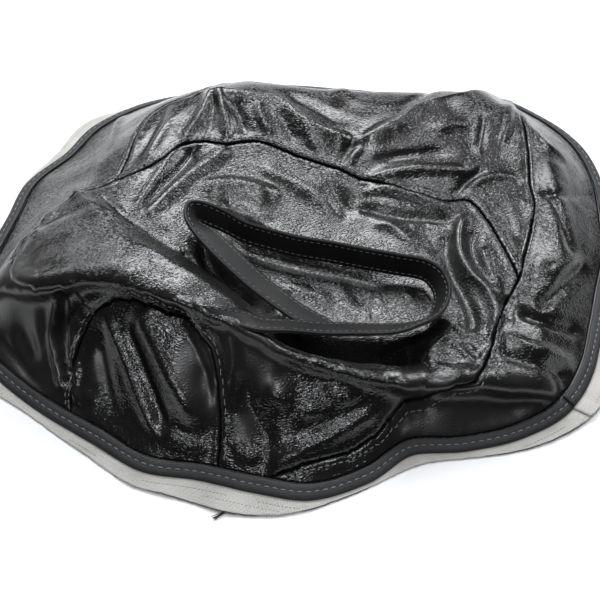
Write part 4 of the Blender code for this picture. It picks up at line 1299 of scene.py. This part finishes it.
# ---------------------------------------------------------------- the grab strap
# outer edge x, y, z then inner edge x, y, z
STRAP = [
    # root, at the left
    (-88, -100, 96, -86.8, -96.6, 100.6), (-83, -103, 96.5, -80.7, -98.4, 102),
    (-78, -105, 97, -74.7, -99.1, 101.7), (-73, -107.5, 96.5, -68.7, -99.8, 101),
    (-66, -110.5, 95.5, -62.8, -99.6, 99.6), (-58.5, -113.2, 94.3, -56, -98.4, 96.8),
    (-49, -115, 92.2, -46.5, -96.8, 91.8),
    # front run
    (-32, -118, 91, -33, -98, 84), (-6, -113, 84, -10, -92, 75), (20, -109, 76, 16, -87, 66),
    (50, -104, 70, 47, -82, 59), (84, -99, 66, 79, -78, 53), (108, -89, 66, 100, -73, 49),
    # bend at the right
    (125, -79, 68, 115, -68, 48), (134, -66, 70, 121, -60, 49), (138, -50, 72, 125, -49, 51),
    (136, -36, 73, 125, -39, 51), (130, -24, 74, 123, -31, 51), (117, -14, 74, 115, -19, 50),
    # back run
    (94, -8, 74, 93, -12, 49), (62, 0, 74, 61, -4, 49), (29, 9, 74, 28, 5, 49),
    (-1, 14, 76, -2, 10, 51), (-29, 20, 80, -30, 16, 55), (-52, 24, 86, -54, 19, 62),
    (-71, 32, 93, -74, 25, 70), (-90, 37, 99, -91, 28, 77),
    # bend at the left, and down to the end under the front run
    (-104, 35, 102, -96, 26, 81), (-109, 25, 102, -94, 20, 83), (-107, 10, 101, -88, 14, 87),
    (-97, -8, 98, -77, 4, 90), (-80, -28, 93, -61, -12, 86), (-64, -43, 87, -46, -26, 80),
    (-47, -57, 80, -30, -39, 73), (-32, -67, 74, -15, -49, 67), (-18, -76, 69, -3, -57, 62),
    (-6, -83, 65, 8, -63, 58), (8, -89, 61, 21, -69, 54), (19, -94, 58, 31, -74, 51),
]
SEWN_ROW, FREE_ROW = 3, 8  # rows where the sewn root starts and where the free part starts
END_LENGTH, END_SEWN = 62.0, 8.0  # the end part, and the length sewn down at its tip
STRAP_STITCH, STRAP_PITCH = 4.0, 6.0
STRAP_LIFT = (-0.3, 0.25, 0.45, 0.45, 0.25, -0.3)

dense = spline(STRAP, 2.2)
edge_out, edge_in = dense[:, :3], dense[:, 3:]
across = edge_in - edge_out
strap_middle = (edge_out + edge_in) / 2
STRAP_RUN = run_of(strap_middle)
face = unit(np.cross(np.gradient(strap_middle, axis=0), across))
face = np.stack([np.convolve(np.pad(column, 4, mode="edge"), np.ones(9) / 9, "valid")
                 for column in face.T], 1)
face = unit(face)


def shell(way, overhang, meet):
    """Section of one strap leather: (fraction across, mm off the middle) points.
    way is the side it lies on; the two edge points stick out by overhang at height meet."""
    outside = [(0.0, 0.9), (0.035, 1.7), (0.10, 1.95), (0.16, 1.45), (0.24, 1.7), (0.5, 1.8),
               (0.76, 1.7), (0.84, 1.45), (0.90, 1.95), (1 - 0.035, 1.7), (1.0, 0.9)]
    inner = [(0.985, 0.4), (0.9, 0.75), (0.5, 0.75), (0.1, 0.75), (0.015, 0.4)]
    return [(-overhang, meet), *[(f, way * d) for f, d in outside],
            (1.0 + overhang, meet), *[(f, way * d) for f, d in inner]]


CORE = [(0.10, -0.4), (0.5, -0.4), (0.90, -0.4), (0.90, 0.4), (0.5, 0.4), (0.10, 0.4)]
# name, section, material, slot, CAD piece
STRAP_LAYERS = [
    ("strap_outer_skin", shell(-1, overhang=0.004, meet=-0.12), STRAP_M, "strap_leather",
     "strap_outer_leather"),
    ("strap_inner_skin", shell(1, overhang=0.0, meet=0.18), STRAP_M, "strap_leather",
     "strap_inner_leather"),
    ("strap_web", CORE, WEBBING_M, "webbing", "strap_core_webbing"),
]


def strap_rings(cut, first, last):
    return [[edge_out[i] + across[i] * f + face[i] * d for f, d in cut]
            for i in range(first, last + 1)]


def vertex_normals(mesh):
    values = np.zeros(len(mesh.vertices) * 3)
    mesh.vertex_normals.foreach_get("vector", values)
    return values.reshape(-1, 3)


def shade_as_whole(obj, cut, first, last):
    """Each length takes its shading from the strap in one piece, so no joint shows."""
    build = Build()
    build.loft(strap_rings(cut, 0, len(dense) - 1), caps=False)
    whole = bpy.data.meshes.new("whole")
    whole.from_pydata(build.verts, [], build.faces)
    outward(whole)
    shading = vertex_normals(whole)[first * len(cut):(last + 1) * len(cut)]
    if (vertex_normals(obj.data) * shading).sum() < 0:
        shading = -shading
    obj.data.normals_split_custom_set_from_vertices(shading.tolist())
    bpy.data.meshes.remove(whole)


def strap_stitches(build, first, last, fraction, way):
    """A row on one face of the strap, at a fraction across it."""
    start = STRAP_RUN[first] + 1.0
    while start + STRAP_STITCH < STRAP_RUN[last] - 1:
        points, ups = [], []
        for run, lift in zip(np.linspace(start, start + STRAP_STITCH, 6), STRAP_LIFT):
            at = np.interp(run, STRAP_RUN, np.arange(len(dense)))
            a = int(at)
            b, w = min(a + 1, len(dense) - 1), at - a
            point = ((edge_out[a] + across[a] * fraction) * (1 - w)
                     + (edge_out[b] + across[b] * fraction) * w)
            normal = face[a] * (1 - w) + face[b] * w
            points.append(point + normal * way * (1.45 + lift))
            ups.append(normal * way)
        build.stitch(points, 0.42, ups)
        start += STRAP_PITCH


def strap_part(tail, first, last, body):
    """One length of the strap; only the free length stands for the CAD pieces."""
    for name, cut, material, slot, stands in STRAP_LAYERS:
        build = Build()
        build.loft(strap_rings(cut, first, last),
                   [[(STRAP_RUN[i], f * 25) for f, d in cut] for i in range(first, last + 1)])
        obj = build.piece(name + tail, material, slot, [] if tail else [stands], body)
        shade_as_whole(obj, cut, first, last)
    for name, fraction in (("outer_edge", 0.16), ("inner_edge", 0.84)):
        build = Build()
        for way in (-1, 1):
            strap_stitches(build, first, last, fraction, way)
        build.piece("strap_stitches_" + name + tail, STRAP_THREAD_M, "thread",
                    [] if tail else ["strap_thread_" + name], body)


def strap_place(i):
    """The middle of the strap at a station, in metres of the shared frame."""
    return tuple(float(v) for v in (strap_middle[i] + SHIFT) * MM)


FREE_FROM = nearest(dense, STRAP[FREE_ROW])
FREE_TO = int(np.searchsorted(STRAP_RUN, STRAP_RUN[-1] - END_LENGTH))
SEWN_AT = int(np.searchsorted(STRAP_RUN, STRAP_RUN[-1] - END_SEWN))
ROOT_AT = nearest(dense, STRAP[SEWN_ROW])
strap_part("", FREE_FROM, FREE_TO, "strap")
strap_part("_root", 0, FREE_FROM,
           ("cover", "strap", strap_place(ROOT_AT), strap_place(FREE_FROM)))
strap_part("_end", FREE_TO, len(dense) - 1,
           ("cover", "strap", strap_place(SEWN_AT), strap_place(FREE_TO)))

# ---------------------------------------------------------------- floor, light, camera
mesh = bpy.data.meshes.new("studio_floor")
mesh.from_pydata([(-6, -6, 0), (6, -6, 0), (6, 6, 0), (-6, 6, 0)], [], [(0, 1, 2, 3)])
floor = new_object("studio_floor", mesh)
material, _, shader = new_material("pale_floor")
shader.inputs["Base Color"].default_value = (0.96, 0.96, 0.96, 1)
shader.inputs["Roughness"].default_value = 0.95
shader.inputs["Specular IOR Level"].default_value = 0.1
mesh.materials.append(material)


def point_at(obj, place, target):
    obj.location = place
    obj.rotation_euler = (Vector(target) - Vector(place)).to_track_quat("-Z", "Y").to_euler()


def lamp(name, place, size, power, target=(0.0, 0.0, 0.0)):
    """Rectangular soft box; size is (width, height) in metres, power in watts."""
    data = bpy.data.lights.new(name, "AREA")
    data.shape = "RECTANGLE"
    data.size, data.size_y = size
    data.energy = power
    data.color = (0.955, 0.975, 1.0)
    point_at(new_object(name, data), place, target)


lamp("soft_box_back", (-0.25, 1.35, 1.45), size=(1.2, 0.8), power=37.5)
lamp("soft_box_right", (1.15, 0.95, 1.15), size=(0.7, 0.5), power=11.0)
lamp("soft_box_top", (0.3, -0.1, 2.1), size=(0.6, 0.5), power=13.0)
lamp("soft_box_left", (-1.0, 1.0, 0.8), size=(0.7, 0.5), power=3.8, target=(-0.15, 0.0, 0.0))
lamp("soft_box_high", (0.45, 0.85, 1.8), size=(0.5, 0.4), power=3.0, target=(0.05, 0.0, 0.0))
lamp("soft_box_front", (-0.5, -1.2, 1.75), size=(0.7, 0.35), power=7.0)

# white surroundings, brighter towards the back and overhead
world = bpy.data.worlds.new("studio")
bpy.context.scene.world = world
world.use_nodes = True
tree = world.node_tree
part = node(tree, "ShaderNodeSeparateXYZ", {"Vector": coordinates(tree, "Generated")})
glow = maths(tree, "ADD",
             remap(tree, part.outputs["Y"], source=(-0.5, 0.6), target=(0.045, 0.10)),
             remap(tree, part.outputs["Z"], source=(0.3, 1.0), target=(0.0, 0.06)))
background = tree.nodes["Background"]
tree.links.new(glow, background.inputs["Strength"])
background.inputs["Color"].default_value = (1, 1, 1, 1)

# the camera looks down from the front, one metre from its target on the floor
camera = bpy.data.cameras.new("camera")
camera.lens, camera.sensor_width = 60.0, 36.0
cam = new_object("camera", camera)
look_down = math.radians(48.0)
x, y = (float(v) for v in SHIFT[:2] * MM)
point_at(cam, (x, y - math.cos(look_down), math.sin(look_down)), (x, y, 0.0))
bpy.context.scene.camera = cam
bpy.context.scene.view_settings.view_transform = "Standard"
